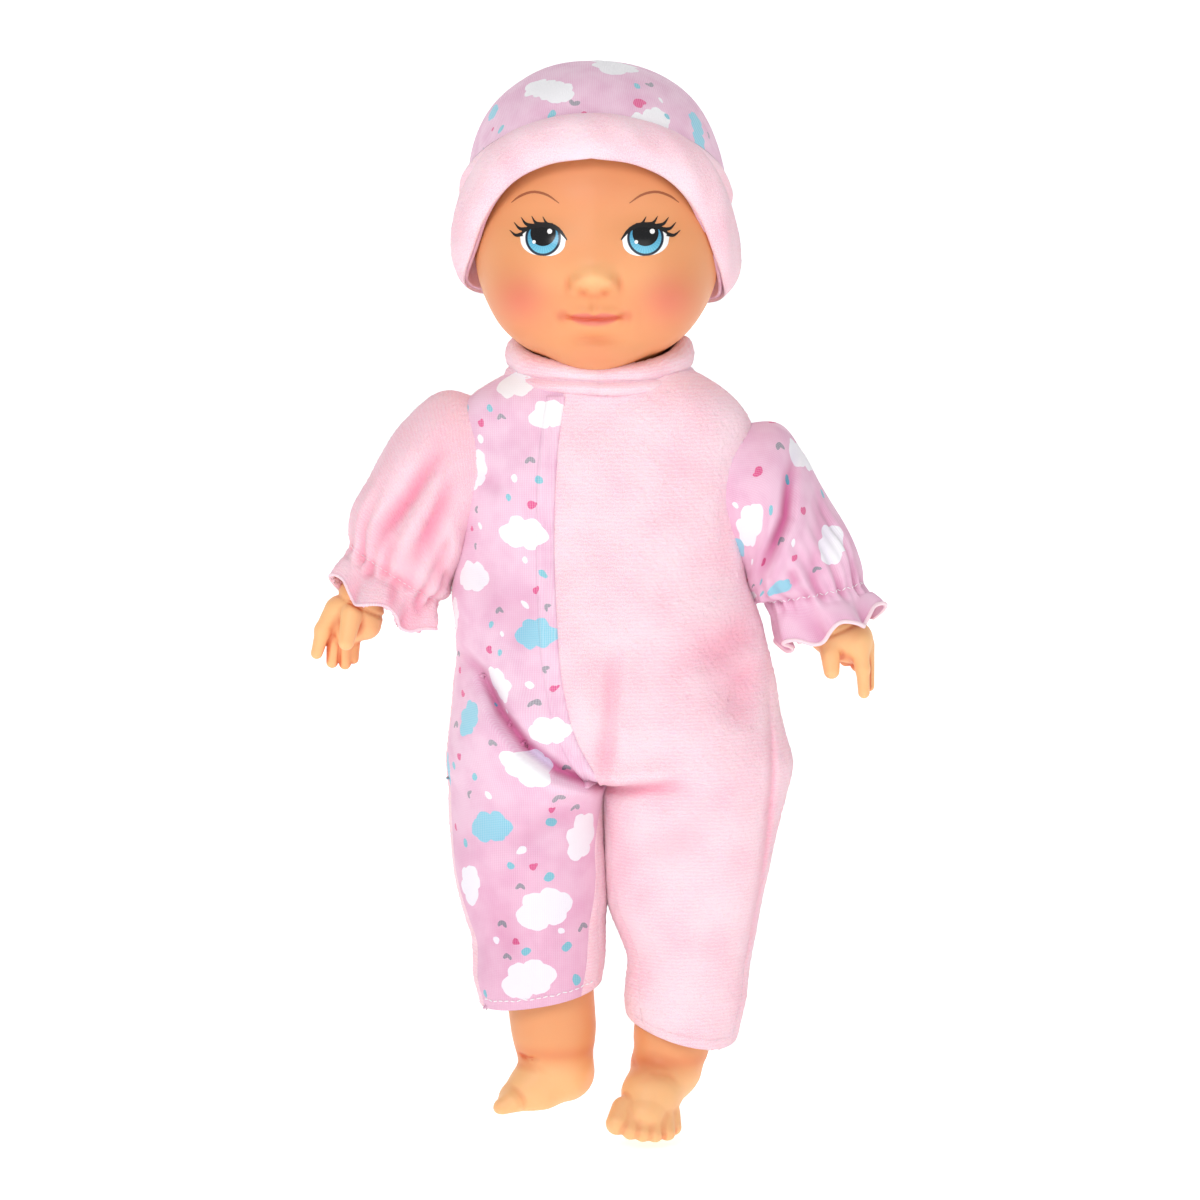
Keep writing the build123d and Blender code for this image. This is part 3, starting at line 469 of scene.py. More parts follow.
def mix(nodes, links, amount, a, b):
    node = nodes.new("ShaderNodeMix")
    node.data_type = "RGBA"
    if isinstance(amount, (int, float)):
        node.inputs["Factor"].default_value = amount
    else:
        links.new(amount, node.inputs["Factor"])
    for key, value in (("A", a), ("B", b)):
        socket = [s for s in node.inputs if s.name == key and s.type == "RGBA"][0]
        if isinstance(value, tuple):
            socket.default_value = value
        else:
            links.new(value, socket)
    return [s for s in node.outputs if s.type == "RGBA"][0]


def step_up(nodes, links, value, low, high):
    node = nodes.new("ShaderNodeMapRange")
    node.interpolation_type = "SMOOTHSTEP"
    node.inputs["From Min"].default_value = low
    node.inputs["From Max"].default_value = high
    links.new(value, node.inputs["Value"])
    return node.outputs["Result"]


def make_skin():
    """Soft satin vinyl. The stored tint gives sprayed rouge, lips and painted shade; the light attribute gives
    a paler tone and painted highlights.
    """
    material, nodes, links, shader = new_material("vinyl_skin")
    tint = nodes.new("ShaderNodeAttribute")
    tint.attribute_name = "tint"
    split = nodes.new("ShaderNodeSeparateColor")
    links.new(tint.outputs["Color"], split.inputs["Color"])
    light = nodes.new("ShaderNodeAttribute")
    light.attribute_name = "light"
    colour = mix(nodes, links, light.outputs["Fac"], SKIN, SKIN_PALE_AND_LIT)
    colour = mix(nodes, links, split.outputs[0], colour, BLUSH)
    colour = mix(nodes, links, split.outputs[1], colour, LIPS)
    colour = mix(nodes, links, split.outputs[2], colour, SKIN_SHADE)
    links.new(colour, shader.inputs["Base Color"])
    shader.inputs["Roughness"].default_value = 0.47
    shader.inputs["Specular IOR Level"].default_value = 0.42
    shader.inputs["Subsurface Weight"].default_value = 0.22
    shader.inputs["Subsurface Radius"].default_value = (1, 0.45, 0.25)
    shader.inputs["Subsurface Scale"].default_value = 0.003
    add_bump(nodes, links, shader, noise_node(nodes, links, 900, object_coordinates(nodes)), 0.03)
    return material


SKIN = linear(233, 158, 106)
# A paler vinyl tone for the hands and feet, also the colour of the painted highlights.
SKIN_PALE_AND_LIT = linear(252, 194, 136)
SKIN_SHADE = linear(216, 92, 46)
BLUSH = linear(226, 108, 98)
LIPS = linear(226, 112, 110)
skin = make_skin()


# ---------------------------------------------------------------- head
HEAD_TURN = math.radians(-1.7)
EYE = (17.45, 141.6)


def turn_head(p):
    """Turns points made facing -Y to where the head faces at rest."""
    c, s = math.cos(HEAD_TURN), math.sin(HEAD_TURN)
    return np.stack([c * p[..., 0] - s * p[..., 1], s * p[..., 0] + c * p[..., 1], p[..., 2]], -1)


def head_field(p):
    x, y, z = np.abs(p[..., 0]), p[..., 1], p[..., 2]
    d = join(ball(p, (0, 3, 150), (43, 46, 51)), ball(p, (0, -9, 132.5), (40, 36, 35.8)), 11)
    for cheek in (-17.6, 17.6):
        d = join(d, ball(p, (cheek, -21, 121.8), (16.4, 18, 16)), 8)
    d = join(d, ball(p, (0, -25, 106), (13.5, 12.5, 9.6)), 9)
    neck = np.maximum(np.hypot(x, y) - 19, np.abs(z - 99) - 15)
    d = join(d, neck, 6)
    front = smooth_step(-14, -24, y)
    shape = 1.5 * bump(x, z, (17.5, 147.5), (12, 6)) - 1.3 * bump(x, z, (17.6, 141), (8.5, 7))
    shape -= 1.5 * bump(x, z, (23, 119.5), (12, 10))
    shape -= 3.9 * bump(x, z, (0, 127.6), (5.8, 4.2)) + 2.1 * bump(x, z, (5.6, 126.2), (2.5, 2.5))
    shape -= 0.5 * bump(x, z, (0, 135.5), (5.2, 6.5)) + 0.8 * bump(x, z, (0, 158), (20, 7))
    shape += 1.2 * bump(x, z, (3.7, 123.2), (1.7, 1.0)) + 0.9 * bump(x, z, (8.9, 126.4), (1.2, 3))
    shape -= 1.7 * bump(x, z, (0, 115.5), (12, 6))
    shape += 0.7 * bump(x, z, (0, 119.6), (1.5, 2.8))
    shape -= 1.0 * bump(x, z, (3.4, 116.3), (4.6, 1.8)) + 1.5 * bump(x, z, (0, 111.6), (6.2, 2.3))
    line = 113.9 + 0.0095 * x**2 + 0.35 * bump(x, x, (0, 0), (2.2, 2.2))
    shape += 1.15 * np.exp(-(((z - line) / 0.75) ** 2)) * smooth_step(11, 8.5, x)
    shape += 1.3 * bump(x, z, (10.6, 115.1), (2.1, 1.7)) - 0.8 * bump(x, z, (13.6, 114.5), (2.4, 4))
    shape += 1.2 * bump(x, z, (0, 107.2), (8.5, 1.9)) - 1.5 * bump(x, z, (0, 102.4), (8.5, 4.8))
    ear = bump(y, z, (5, 131), (5.5, 8)) - 1.4 * bump(y, z, (4, 131), (2.6, 4.6))
    return d + shape * front - 0.8 * ear * smooth_step(35, 39, x)


def head_front(x, z, lift=0.0):
    """The y of the head's front surface, lifted by that much."""
    p = np.stack([x, np.full(np.shape(x), -62.0), z], -1)
    for _ in range(60):
        p[..., 1] += np.clip(head_field(p) - lift, -2, 8) * 0.7
    return p[..., 1]


def make_head():
    points, faces = surface(head_field, (-50, -56, 82), (50, 56, 206), 1.7)
    for _ in range(2):
        points, faces = divide(points, faces, head_field)
    x, y, z = np.abs(points[:, 0]), points[:, 1], points[:, 2]
    front = smooth_step(-14, -24, y)
    # Sprayed rouge on the cheeks and chin, reddened mouth corners, and a faint band across the top of the
    # forehead that is painted shade under the hat's edge.
    blush_and_shade = 0.6 * bump(x, z, (25.5, 120.5), (9.5, 8.5))
    blush_and_shade += 0.2 * bump(x, z, (0, 102), (9, 5)) + 0.12 * bump(x, z, (0, 158), (22, 8))
    blush_and_shade += 0.35 * bump(x, z, (10.8, 115), (2.4, 2))
    line = 113.9 + 0.0095 * x**2
    half = np.sqrt(np.clip(1 - (x / 8.8) ** 2, 0, 1))
    top = line + 0.2 + (2.5 - 0.9 * np.exp(-((x / 1.6) ** 2))) * half**1.2
    bottom = line - 0.2 - 2.9 * half
    lips = smooth_step(0, 0.9, top - z) * smooth_step(0, 1.6, z - bottom) * smooth_step(9.4, 7, x)
    shade = 0.75 * np.exp(-(((z - line) / 0.5) ** 2)) * smooth_step(10.8, 8.5, x)
    shade += 0.32 * bump(x, z, (3.7, 122.9), (1.8, 0.9)) + 0.3 * bump(x, z, (9.0, 125.6), (1.1, 2.8))
    shade += 0.3 * bump(x, z, (0, 121.7), (5.5, 1.2)) + 0.3 * bump(x, z, (0, 107.4), (6.5, 1.2))
    thing = mesh_object("head_vinyl", turn_head(points), faces)
    add_values(thing, "tint", np.stack([blush_and_shade * front, 0.72 * lips * front, shade * front], 1).clip(0, 1))
    # Painted highlights: the nose tip, the tops of the cheeks and the chin are painted paler, where light falls
    # on them.
    light = 0.85 * bump(x, z, (0, 128.2), (7, 4.5)) + 0.25 * bump(x, z, (16, 128), (9, 6))
    light = light + 0.15 * bump(x, z, (0, 110.5), (9, 4))
    add_values(thing, "light", np.repeat((light * front).clip(0, 1)[:, None], 3, 1))
    thing.data.materials.append(skin)
    return thing


def eye_parts(side):
    """The printed eye's patch, on which its material draws the white, iris and pupil; lid, lashes, brow and
    shine are separate painted strokes.
    """
    cx, cz = side * EYE[0], EYE[1]
    u = np.linspace(-1, 1, 41)
    x = np.where(u < 0, 8.1 * u, 7.9 * u)
    corner = 0.05 - 0.5 * u
    low = corner - 6.15 * (1 - np.abs(u) ** 2.6) ** 0.45
    high = corner + 4.0 * (1 - np.abs(u) ** 2.2) ** 0.7
    rows = np.linspace(0, 1, 21)[:, None]
    grid_z = low + rows * (np.maximum(high, low) - low)
    grid_x = np.broadcast_to(x, grid_z.shape)
    flat_x, flat_z = grid_x.ravel(), grid_z.ravel()
    px, pz = cx - side * flat_x, cz + flat_z
    points = np.column_stack([px, head_front(px, pz, 0.06), pz])
    return points, grid_faces(21, 41), np.column_stack([flat_x, flat_z])


def strokes(side, lines, lift):
    """Painted strokes given as (line, widths) about an eye's centre, the outer corner at -x."""
    parts = []
    for line, widths in lines:
        line = [(side * (EYE[0] - x), EYE[1] + z) for x, z in line]
        parts.append(ribbon(head_front, line, widths, lift))
    return parts


LID = [((-8.4, 0.5), (-6.4, 2.5), (-3.7, 3.9), (0, 4.4), (3.4, 3.9), (6.1, 2.1), (8.2, -0.7))]
LASHES = [
    ((-7.2, 1.3), (-9.6, 0.9), (-11.8, 2.6)),
    ((-5.8, 2.9), (-8.3, 3.2), (-10.3, 5.3)),
    ((-3.7, 4.0), (-6.1, 4.8), (-7.8, 7.0)),
    ((-0.7, 4.5), (-2.7, 5.2), (-4.1, 7.4)),
    ((3.2, 4.2), (1.2, 4.9), (-0.2, 7.2)),
]
BROW = [((-11.3, 12.0), (-8.2, 14.2), (-3.7, 15.6), (1.2, 14.6), (5.5, 11.7))]


def shine(side, dx, dz, radius):
    """A small white glint, the same side on both eyes."""
    angle = np.linspace(0, 2 * math.pi, 25)[:-1]
    x = side * EYE[0] + dx + radius * np.cos(angle)
    z = EYE[1] + dz + radius * np.sin(angle)
    x, z = np.append(x, side * EYE[0] + dx), np.append(z, EYE[1] + dz)
    points = np.column_stack([x, head_front(x, z, 0.16), z])
    return points, [[i, (i + 1) % 24, 24] for i in range(24)]


def make_eye_material():
    """White, a dark iris rim, a blue ring with fine rays and a black pupil, by distance from the centre."""
    material, nodes, links, shader = new_material("eye_print")
    place = cloth_coordinates(nodes)
    length = nodes.new("ShaderNodeVectorMath")
    length.operation = "LENGTH"
    links.new(place, length.inputs[0])
    r = length.outputs["Value"]
    split = nodes.new("ShaderNodeSeparateXYZ")
    links.new(place, split.inputs["Vector"])
    angle = maths(nodes, links, "ARCTAN2", split.outputs[1], split.outputs[0])
    rays = maths(nodes, links, "SINE", maths(nodes, links, "MULTIPLY", angle, 34))
    rays = maths(nodes, links, "MULTIPLY", rays, 0.18)
    low_blue = step_up(nodes, links, split.outputs[1], 4.5, -5.5)
    blue = mix(nodes, links, low_blue, linear(70, 150, 190), linear(116, 200, 226))
    blue = mix(nodes, links, maths(nodes, links, "ADD", rays, 0.18), blue, linear(60, 140, 190))
    colour = mix(nodes, links, step_up(nodes, links, r, 6.1, 6.3), linear(30, 44, 62), linear(250, 250, 250))
    colour = mix(nodes, links, step_up(nodes, links, r, 5.25, 5.45), blue, colour)
    lifted = nodes.new("ShaderNodeVectorMath")
    lifted.operation = "SUBTRACT"
    lifted.inputs[1].default_value = (0, 1.6, 0)
    links.new(place, lifted.inputs[0])
    inner = nodes.new("ShaderNodeVectorMath")
    inner.operation = "LENGTH"
    links.new(lifted.outputs["Vector"], inner.inputs[0])
    pupil = step_up(nodes, links, inner.outputs["Value"], 4.35, 4.5)
    colour = mix(nodes, links, pupil, linear(14, 14, 18), colour)
    links.new(colour, shader.inputs["Base Color"])
    shader.inputs["Roughness"].default_value = 0.22
    return material


def make_face_print():
    head = make_head()
    ink = plain("eye_ink", linear(18, 16, 17), 0.4)
    brown = plain("brow_ink", linear(164, 92, 58), 0.5)
    glint = plain("eye_glint", linear(255, 255, 255), 0.3)
    eye_print = make_eye_material()
    whites = [eye_parts(side) for side in (-1, 1)]
    points, faces = merge([(p, f) for p, f, _ in whites])
    eyes = mesh_object("eye_print", turn_head(points), faces, np.concatenate([uv for _, _, uv in whites]))
    eyes.data.materials.append(eye_print)
    dark, brows, glints = [], [], []
    for side in (-1, 1):
        dark += strokes(side, [(line, (0.5, 1.4, 1.9, 1.5, 0.4)) for line in LID], 0.11)
        dark += strokes(side, [(line, (1.5, 1.0, 0.16)) for line in LASHES], 0.09)
        brows += strokes(side, [(line, (0.25, 0.8, 0.85, 0.8, 0.25)) for line in BROW], 0.07)
        glints += [shine(side, 2.3, 2.2, 0.85), shine(side, -3.1, -1.4, 0.62)]
    prints = (("eye_lashes", dark, ink), ("brows", brows, brown), ("eye_glints", glints, glint))
    for name, parts, finish in prints:
        points, faces = merge(parts)
        thing = mesh_object(name, turn_head(points), faces)
        thing.data.materials.append(finish)
        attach(thing, "head")
    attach(eyes, "head")
    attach(head, "head")
    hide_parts("head_shell")


make_face_print()


# ---------------------------------------------------------------- fabrics
PRINT_BASE = linear(242, 197, 221)
PRINT_DEEP = linear(233, 176, 207)
# Painted shade in the print's folds.
PRINT_FOLD_SHADE = linear(206, 112, 158)
PLUSH = linear(255, 223, 232)
PLUSH_DEEP = linear(252, 193, 209)
# Painted shade in the plush's folds.
PLUSH_FOLD_SHADE = linear(246, 138, 168)
WHITE_INK = linear(250, 249, 252)
BLUE_INK = linear(136, 208, 230)
MAGENTA_INK = linear(228, 62, 138)
GREY_INK = linear(152, 146, 158)
TEAL_INK = linear(118, 200, 216)


def blob(u, v, x, y, reach_x, reach_y, turn=0.0):
    """Distance outside an oval motif, roughly in millimetres."""
    c, s = math.cos(turn), math.sin(turn)
    a, b = (u - x) * c + (v - y) * s, (v - y) * c - (u - x) * s
    return (np.hypot(a / reach_x, b / reach_y) - 1) * min(reach_x, reach_y)


# The ovals that make up a cloud: centre and reach.
CLOUD = (
    (0, 0, 4.4, 3.7), (-4.1, -0.5, 3.3, 3.1), (4.2, -0.3, 3.3, 3.0), (-1.8, 2.4, 2.9, 2.7),
    (2.4, 2.1, 3.0, 2.8), (-2.2, -2.5, 2.8, 2.4), (2.3, -2.6, 2.8, 2.3),
)


def motif(u, v, kind, x, y, size, turn):
    """One printed motif: a scalloped cloud, a caret, a comma, a drop or a dot."""
    c, s = math.cos(turn), math.sin(turn)
    if kind in ("white", "blue"):
        lobes = []
        for dx, dy, rx, ry in CLOUD:
            at = (x + size * (c * dx - s * dy), y + size * (s * dx + c * dy))
            lobes.append(blob(u, v, *at, rx * size, ry * size, turn))
        return np.min(lobes, 0)
    if kind == "grey":
        left = blob(u, v, x - 0.75 * size * c, y - 0.75 * size * s, 1.5 * size, 0.8 * size, turn + 0.8)
        right = blob(u, v, x + 0.75 * size * c, y + 0.75 * size * s, 1.5 * size, 0.8 * size, turn - 0.8)
        return np.minimum(left, right)
    if kind == "magenta":
        tail = blob(u, v, x + size * 0.9 * c, y + size * 0.9 * s, 1.5 * size, 0.75 * size, turn + 0.7)
        return np.minimum(blob(u, v, x, y, 1.35 * size, 1.3 * size), tail)
    return blob(u, v, x, y, 1.15 * size, 1.6 * size, turn)


INKS = ("white", "blue", "drop", "teal", "grey", "magenta")


def split(points, faces, value, extra, marks):
    """Cuts a triangle mesh along value = 0 and keeps both sides. marks is one number for each triangle."""
    value = np.where(np.abs(value) < 1e-4, 1e-4, value)
    below = value[faces] < 0
    crossing = below.any(1) & ~below.all(1)
    whole, whole_marks = faces[~crossing], marks[~crossing]
    faces, marks, below = faces[crossing], marks[crossing], below[crossing]
    one = below.sum(1) == 1
    lone = np.where(one, below.argmax(1), (~below).argmax(1))
    row = np.arange(len(faces))
    a, b, c = faces[row, lone], faces[row, (lone + 1) % 3], faces[row, (lone + 2) % 3]
    edges = np.sort(np.concatenate([np.stack([a, b], 1), np.stack([a, c], 1)]), 1)
    unique, where = np.unique(edges, axis=0, return_inverse=True)
    where = where.ravel()
    t = (value[unique[:, 0]] / (value[unique[:, 0]] - value[unique[:, 1]]))[:, None]
    ab, ac = len(points) + where[: len(faces)], len(points) + where[len(faces) :]
    points = np.concatenate([points, points[unique[:, 0]] * (1 - t) + points[unique[:, 1]] * t])
    extra = np.concatenate([extra, extra[unique[:, 0]] * (1 - t) + extra[unique[:, 1]] * t])
    value = np.concatenate([value, np.zeros(len(unique))])
    parts = [np.stack([a, ab, ac], 1), np.stack([ab, b, c], 1), np.stack([ab, c, ac], 1)]
    faces = np.concatenate([whole, *parts])
    return points, faces, value, extra, np.concatenate([whole_marks, marks, marks, marks])


def lay_print(points, faces, uv, motifs):
    """Cuts the motifs' outlines into a cloth's triangles. Returns the mesh and each triangle's ink or 0."""
    marks = np.zeros(len(faces), int)
    for ink, kind in enumerate(INKS, 1):
        u, v = uv[:, 0].copy(), uv[:, 1].copy()
        u += 0.22 * np.sin(v * 0.9 + 0.3 * u) + 0.08 * np.sin(v * 2.3 - u)
        v += 0.22 * np.sin(u * 0.8 + 1.3) + 0.08 * np.sin(u * 2.1 + v)
        value = np.full(len(points), 9.0)
        for spot in motifs[kind]:
            value = np.minimum(value, motif(u, v, kind, *spot))
        points, faces, value, uv, marks = split(points, faces, value, uv, marks)
        inside = value[faces].mean(1) < 0
        marks = np.where(inside, ink, marks)
    return points, faces, uv, marks


def refine(points, faces, uv, field=None):
    """Cuts each triangle in four and, if a field is given, moves the points onto its surface."""
    edges = np.sort(np.stack([faces, np.roll(faces, -1, 1)], -1).reshape(-1, 2), 1)
    unique, where = np.unique(edges, axis=0, return_inverse=True)
    m = len(points) + where.reshape(-1, 3)
    a, b, c = faces.T
    faces = np.concatenate([np.stack(t, 1) for t in ((a, m[:, 0], m[:, 2]), (m[:, 0], b, m[:, 1]),
                                                      (m[:, 2], m[:, 1], c), (m[:, 0], m[:, 1], m[:, 2]))])
    points = np.concatenate([points, points[unique].mean(1)])
    uv = np.concatenate([uv, uv[unique].mean(1)])
    if field is not None:
        points[len(points) - len(unique) :] = settle(field, points[len(points) - len(unique) :], 2)
    return points, faces, uv


def paint_fold_shade(nodes, links, colour, fold_shade):
    """Paints shade into a cloth's colour where the stored fold value is high."""
    fold = nodes.new("ShaderNodeAttribute")
    fold.attribute_name = "fold"
    return mix(nodes, links, fold.outputs["Fac"], colour, fold_shade)


def jersey(name, colour, deep=None, fold_shade=PRINT_FOLD_SHADE):
    """Fine cotton jersey in one colour, with its stitches, painted paler on their raised loops, and painted
    shade in its folds.
    """
    material, nodes, links, shader = new_material(name)
    place = cloth_coordinates(nodes)
    mottling = noise_node(nodes, links, 0.09, place, 2.0)
    tone = mix(nodes, links, step_up(nodes, links, mottling, 0.35, 0.7), colour, deep or colour)
    height = knit(nodes, links, place, 0.75, 0.62)
    # Painted highlight: the raised stitches are painted paler.
    tone = mix(nodes, links, maths(nodes, links, "MULTIPLY", height, 0.3), tone, linear(255, 250, 255))
    links.new(paint_fold_shade(nodes, links, tone, fold_shade), shader.inputs["Base Color"])
    shader.inputs["Roughness"].default_value = 0.85
    shader.inputs["Specular IOR Level"].default_value = 0.2
    shader.inputs["Sheen Weight"].default_value = 0.2
    add_bump(nodes, links, shader, height, 0.35, 0.0003)
    return material


def knit(nodes, links, place, across, down):
    """Fine jersey stitches: ribs across the width with small rows down them."""
    parts = nodes.new("ShaderNodeSeparateXYZ")
    links.new(place, parts.inputs["Vector"])
    rib = maths(nodes, links, "SINE", maths(nodes, links, "MULTIPLY", parts.outputs[0], 2 * math.pi / across))
    row = maths(nodes, links, "SINE", maths(nodes, links, "MULTIPLY", parts.outputs[1], 2 * math.pi / down))
    both = maths(nodes, links, "MULTIPLY_ADD", rib, 0.3, maths(nodes, links, "MULTIPLY", row, 0.2))
    return maths(nodes, links, "ADD", both, 0.5)


JERSEY = [jersey("jersey_pink", PRINT_BASE, PRINT_DEEP)]
for ink, ink_colour, shadow in (("white", WHITE_INK, (214, 196, 222)), ("blue", BLUE_INK, (84, 148, 186)),
                                ("drop", WHITE_INK, (214, 196, 222)), ("teal", TEAL_INK, (70, 140, 170)),
                                ("grey", GREY_INK, (98, 90, 112)), ("magenta", MAGENTA_INK, (170, 30, 96))):
    JERSEY.append(jersey(f"jersey_{ink}_ink", ink_colour, None, linear(*shadow)))


def printed_object(name, points, faces, uv, motifs, thickness=1.2):
    """A printed jersey piece with the motifs inlaid, given its cloth's thickness inwards."""
    points, faces, uv, marks = lay_print(points, faces, uv, motifs)
    thing = mesh_object(name, points, faces, uv[:, :2])
    # A third cloth column, if given, is the amount of painted fold shade.
    if uv.shape[1] > 2:
        add_values(thing, "fold", np.repeat(uv[:, 2:], 3, 1))
    for material in JERSEY:
        thing.data.materials.append(material)
    thing.data.polygons.foreach_set("material_index", marks)
    apply_modifier(thing, "SOLIDIFY", thickness=thickness * MM, offset=-1)
    return thing


def make_plush(name, rib=1.3, courses=0.035, pale=PLUSH, deep=PLUSH_DEEP):
    """Brushed velour: soft short pile with faint courses across it, and painted shade in its folds."""
    material, nodes, links, shader = new_material(name)
    place = cloth_coordinates(nodes)
    patches = noise_node(nodes, links, 0.05, place, 1.0)
    fibre = noise_node(nodes, links, 2.6, place, 3.0)
    split = nodes.new("ShaderNodeSeparateXYZ")
    links.new(place, split.inputs["Vector"])
    drift = maths(nodes, links, "MULTIPLY_ADD", noise_node(nodes, links, 0.35, place), 1.6, split.outputs[1])
    course = maths(nodes, links, "SINE", maths(nodes, links, "MULTIPLY", drift, 2 * math.pi / rib))
    amount = maths(nodes, links, "MULTIPLY_ADD", patches, 0.35, maths(nodes, links, "MULTIPLY", fibre, 0.65))
    amount = maths(nodes, links, "ADD", amount, maths(nodes, links, "MULTIPLY", course, courses))
    colour = mix(nodes, links, step_up(nodes, links, amount, 0.4, 0.7), pale, deep)
    links.new(paint_fold_shade(nodes, links, colour, PLUSH_FOLD_SHADE), shader.inputs["Base Color"])
    shader.inputs["Roughness"].default_value = 0.95
    shader.inputs["Specular IOR Level"].default_value = 0.1
    shader.inputs["Sheen Weight"].default_value = 0.6
    shader.inputs["Sheen Roughness"].default_value = 0.4
    shader.inputs["Sheen Tint"].default_value = linear(255, 232, 238)
    shader.inputs["Subsurface Weight"].default_value = 0.12
    shader.inputs["Subsurface Scale"].default_value = 0.002
    height = maths(nodes, links, "MULTIPLY_ADD", course, 2.5 * courses, fibre)
    add_bump(nodes, links, shader, height, 0.45, 0.0005)
    return material


# Motifs on the hat by kind, on its cloth laid flat about the top: (across, forward, size, turn).
HAT_MOTIFS = {
    "white": [
        (-19.4, 24, 1.05, 0.88), (-13.4, 31.2, 1.1, 0.88), (6.7, 12.2, 1.5, -1.61),
        (18.6, 46.4, 1.05, -0.8), (25.8, 39.2, 1.0, -0.8), (63, -12.8, 1.2, 0.24),
        (-66.6, 4.7, 1.1, -0.24), (30, -12, 1.0, 0.2), (2, -28, 1.0, 0), (-32, -46, 1.0, 0.9),
        (8, -62, 1.1, 0.3), (44, -50, 1.1, 0.2), (-50, -66, 1.1, 0), (26, -84, 1.1, 0.6),
    ],
    "blue": [
        (46.9, 30.1, 0.75, -2.17), (42.3, 23.5, 0.75, -2.17), (-40, 15.8, 0.6, 1.76), (-26, -22, 1.0, 0),
        (26, -40, 1.0, 0.4), (-56, -30, 1.0, 0.5), (-8, -84, 1.0, 0.2),
    ],
    "magenta": [
        (-3.1, 44.2, 1.0, 0.23), (17.3, 36.3, 1.6, -1.05), (-42.8, 26.2, 0.7, 1.79), (-14, -18, 0.9, 0.7),
        (16, -26, 0.9, 0.3), (-8, -48, 0.9, 0.7), (-40, -34, 1.0, 0), (34, -62, 1.0, 0.5),
        (-20, -74, 1.0, 1), (54, -30, 1.0, 0.4),
    ],
    "grey": [
        (-6.6, 39.3, 1.1, 0.23), (20, 22.6, 1.1, -1.1), (-51.1, 28.3, 0.8, 2.25),
        (49.3, 19.4, 0.8, -2.51), (-8, -8, 1.0, 0.2), (14, -14, 1.0, 0), (20, -56, 1.0, 0),
        (-18, -60, 1.1, 0.3), (44, -70, 1.0, 0), (-64, -50, 1.0, 0.6),
    ],
    "teal": [
        (-15.8, 42.2, 1.3, 0.78), (15.3, 27.6, 1.0, -0.35), (30, 33.9, 0.9, -1.33),
        (-38.8, 32.6, 1.2, 1.46), (-20, -34, 1.0, 0.6), (38, -26, 1.0, 0), (20, -70, 1.2, 0.3),
        (-34, -60, 1.1, 0.9), (56, -44, 1.1, 0), (-4, -72, 1.0, 0.7),
    ],
    "drop": [
        (-15.1, 35.6, 0.8, 0.39), (25.6, 28.4, 0.8, -0.88), (8, -38, 1.0, 0.2), (-44, -48, 1.0, 0),
        (34, -44, 1.0, 0.5), (10, -78, 0.9, 0), (-62, -12, 1.0, 0.3),
    ],
}
plush_cuff = make_plush("plush_cuff", 1.6, 0.01)


# ---------------------------------------------------------------- hat
HAT_CENTRE = (-0.9, 3.0, 148.0)
HAT_RADII = (45.9, 51.0, 55.2)


def hat_low(turn):
    """Height of the hat's lower edge, by degrees round from the front."""
    turns = [0, 20, 36, 54, 64, 76, 95, 130, 180]
    return curve_through(turn, turns, [168.2, 165.8, 160, 146.5, 136, 127.5, 122.5, 119, 117])


def hat_point(turn, z, grow=0.0):
    """A point of the crown's outer surface, round from the front and up, moved outwards by grow."""
    rise = np.clip((z - HAT_CENTRE[2]) / HAT_RADII[2], 0, 1)
    flare = np.clip(1 - rise**2.6, 0, 1) ** (1 / 2.2)
    tuck = 2.6 * smooth_step(132, 112, z)
    normal_z = rise * HAT_RADII[0] / HAT_RADII[2]
    tilt = np.hypot(flare, normal_z)
    out = grow * flare / tilt
    x = HAT_CENTRE[0] + ((HAT_RADII[0] - tuck) * flare + out) * np.sin(turn)
    y = HAT_CENTRE[1] - ((HAT_RADII[1] - tuck) * flare + out) * np.cos(turn)
    return np.stack([x, y, z + grow * normal_z / tilt], -1)


def hat_edge(turns):
    """Height of the lower edge at each turn, in radians. It sits a little higher on the doll's right."""
    degrees = np.degrees(np.abs(turns))
    return hat_low(degrees) - 1.7 * np.sin(turns) * smooth_step(35, 80, degrees)


def make_crown():
    rows, around = 150, 360
    turns = np.linspace(-math.pi, math.pi, around + 1)[:-1]
    middle, tall = HAT_CENTRE[2], HAT_RADII[2]
    t = np.linspace(0, 1, rows)[:, None]
    low = hat_edge(turns)[None, :] + 1.2
    side = tall * math.pi / 2
    reach = tall * np.arccos(np.clip((low - middle) / tall, -1, 1))
    reach = np.where(low > middle, reach, side + middle - low)
    run = 0.006 * reach + t * reach * 0.994
    z = np.where(run < side, middle + tall * np.cos(run / tall), middle + side - run)
    turn = np.broadcast_to(turns, z.shape)
    soft = 0.5 * np.sin(3 * turn + 1) * np.sin(run / 14)
    soft = soft + 0.35 * np.sin(7 * turn + run / 9) * np.clip(run / 40, 0, 1)
    points = hat_point(turn, z, soft).reshape(-1, 3)
    uv = np.stack([0.93 * run * np.sin(turn), 0.93 * run * np.cos(turn)], -1).reshape(-1, 2)
    points = np.append(points, [[HAT_CENTRE[0], HAT_CENTRE[1], points[:around, 2].mean() + 0.05]], 0)
    uv = np.append(uv, [[0, 0]], 0)
    cap = np.array([[i, (i + 1) % around, len(points) - 1] for i in range(around)])
    faces = np.concatenate([triangles(grid_faces(rows, around, True))[:, ::-1], cap])
    return printed_object("hat_crown_jersey", turn_head(points), faces, uv, HAT_MOTIFS)


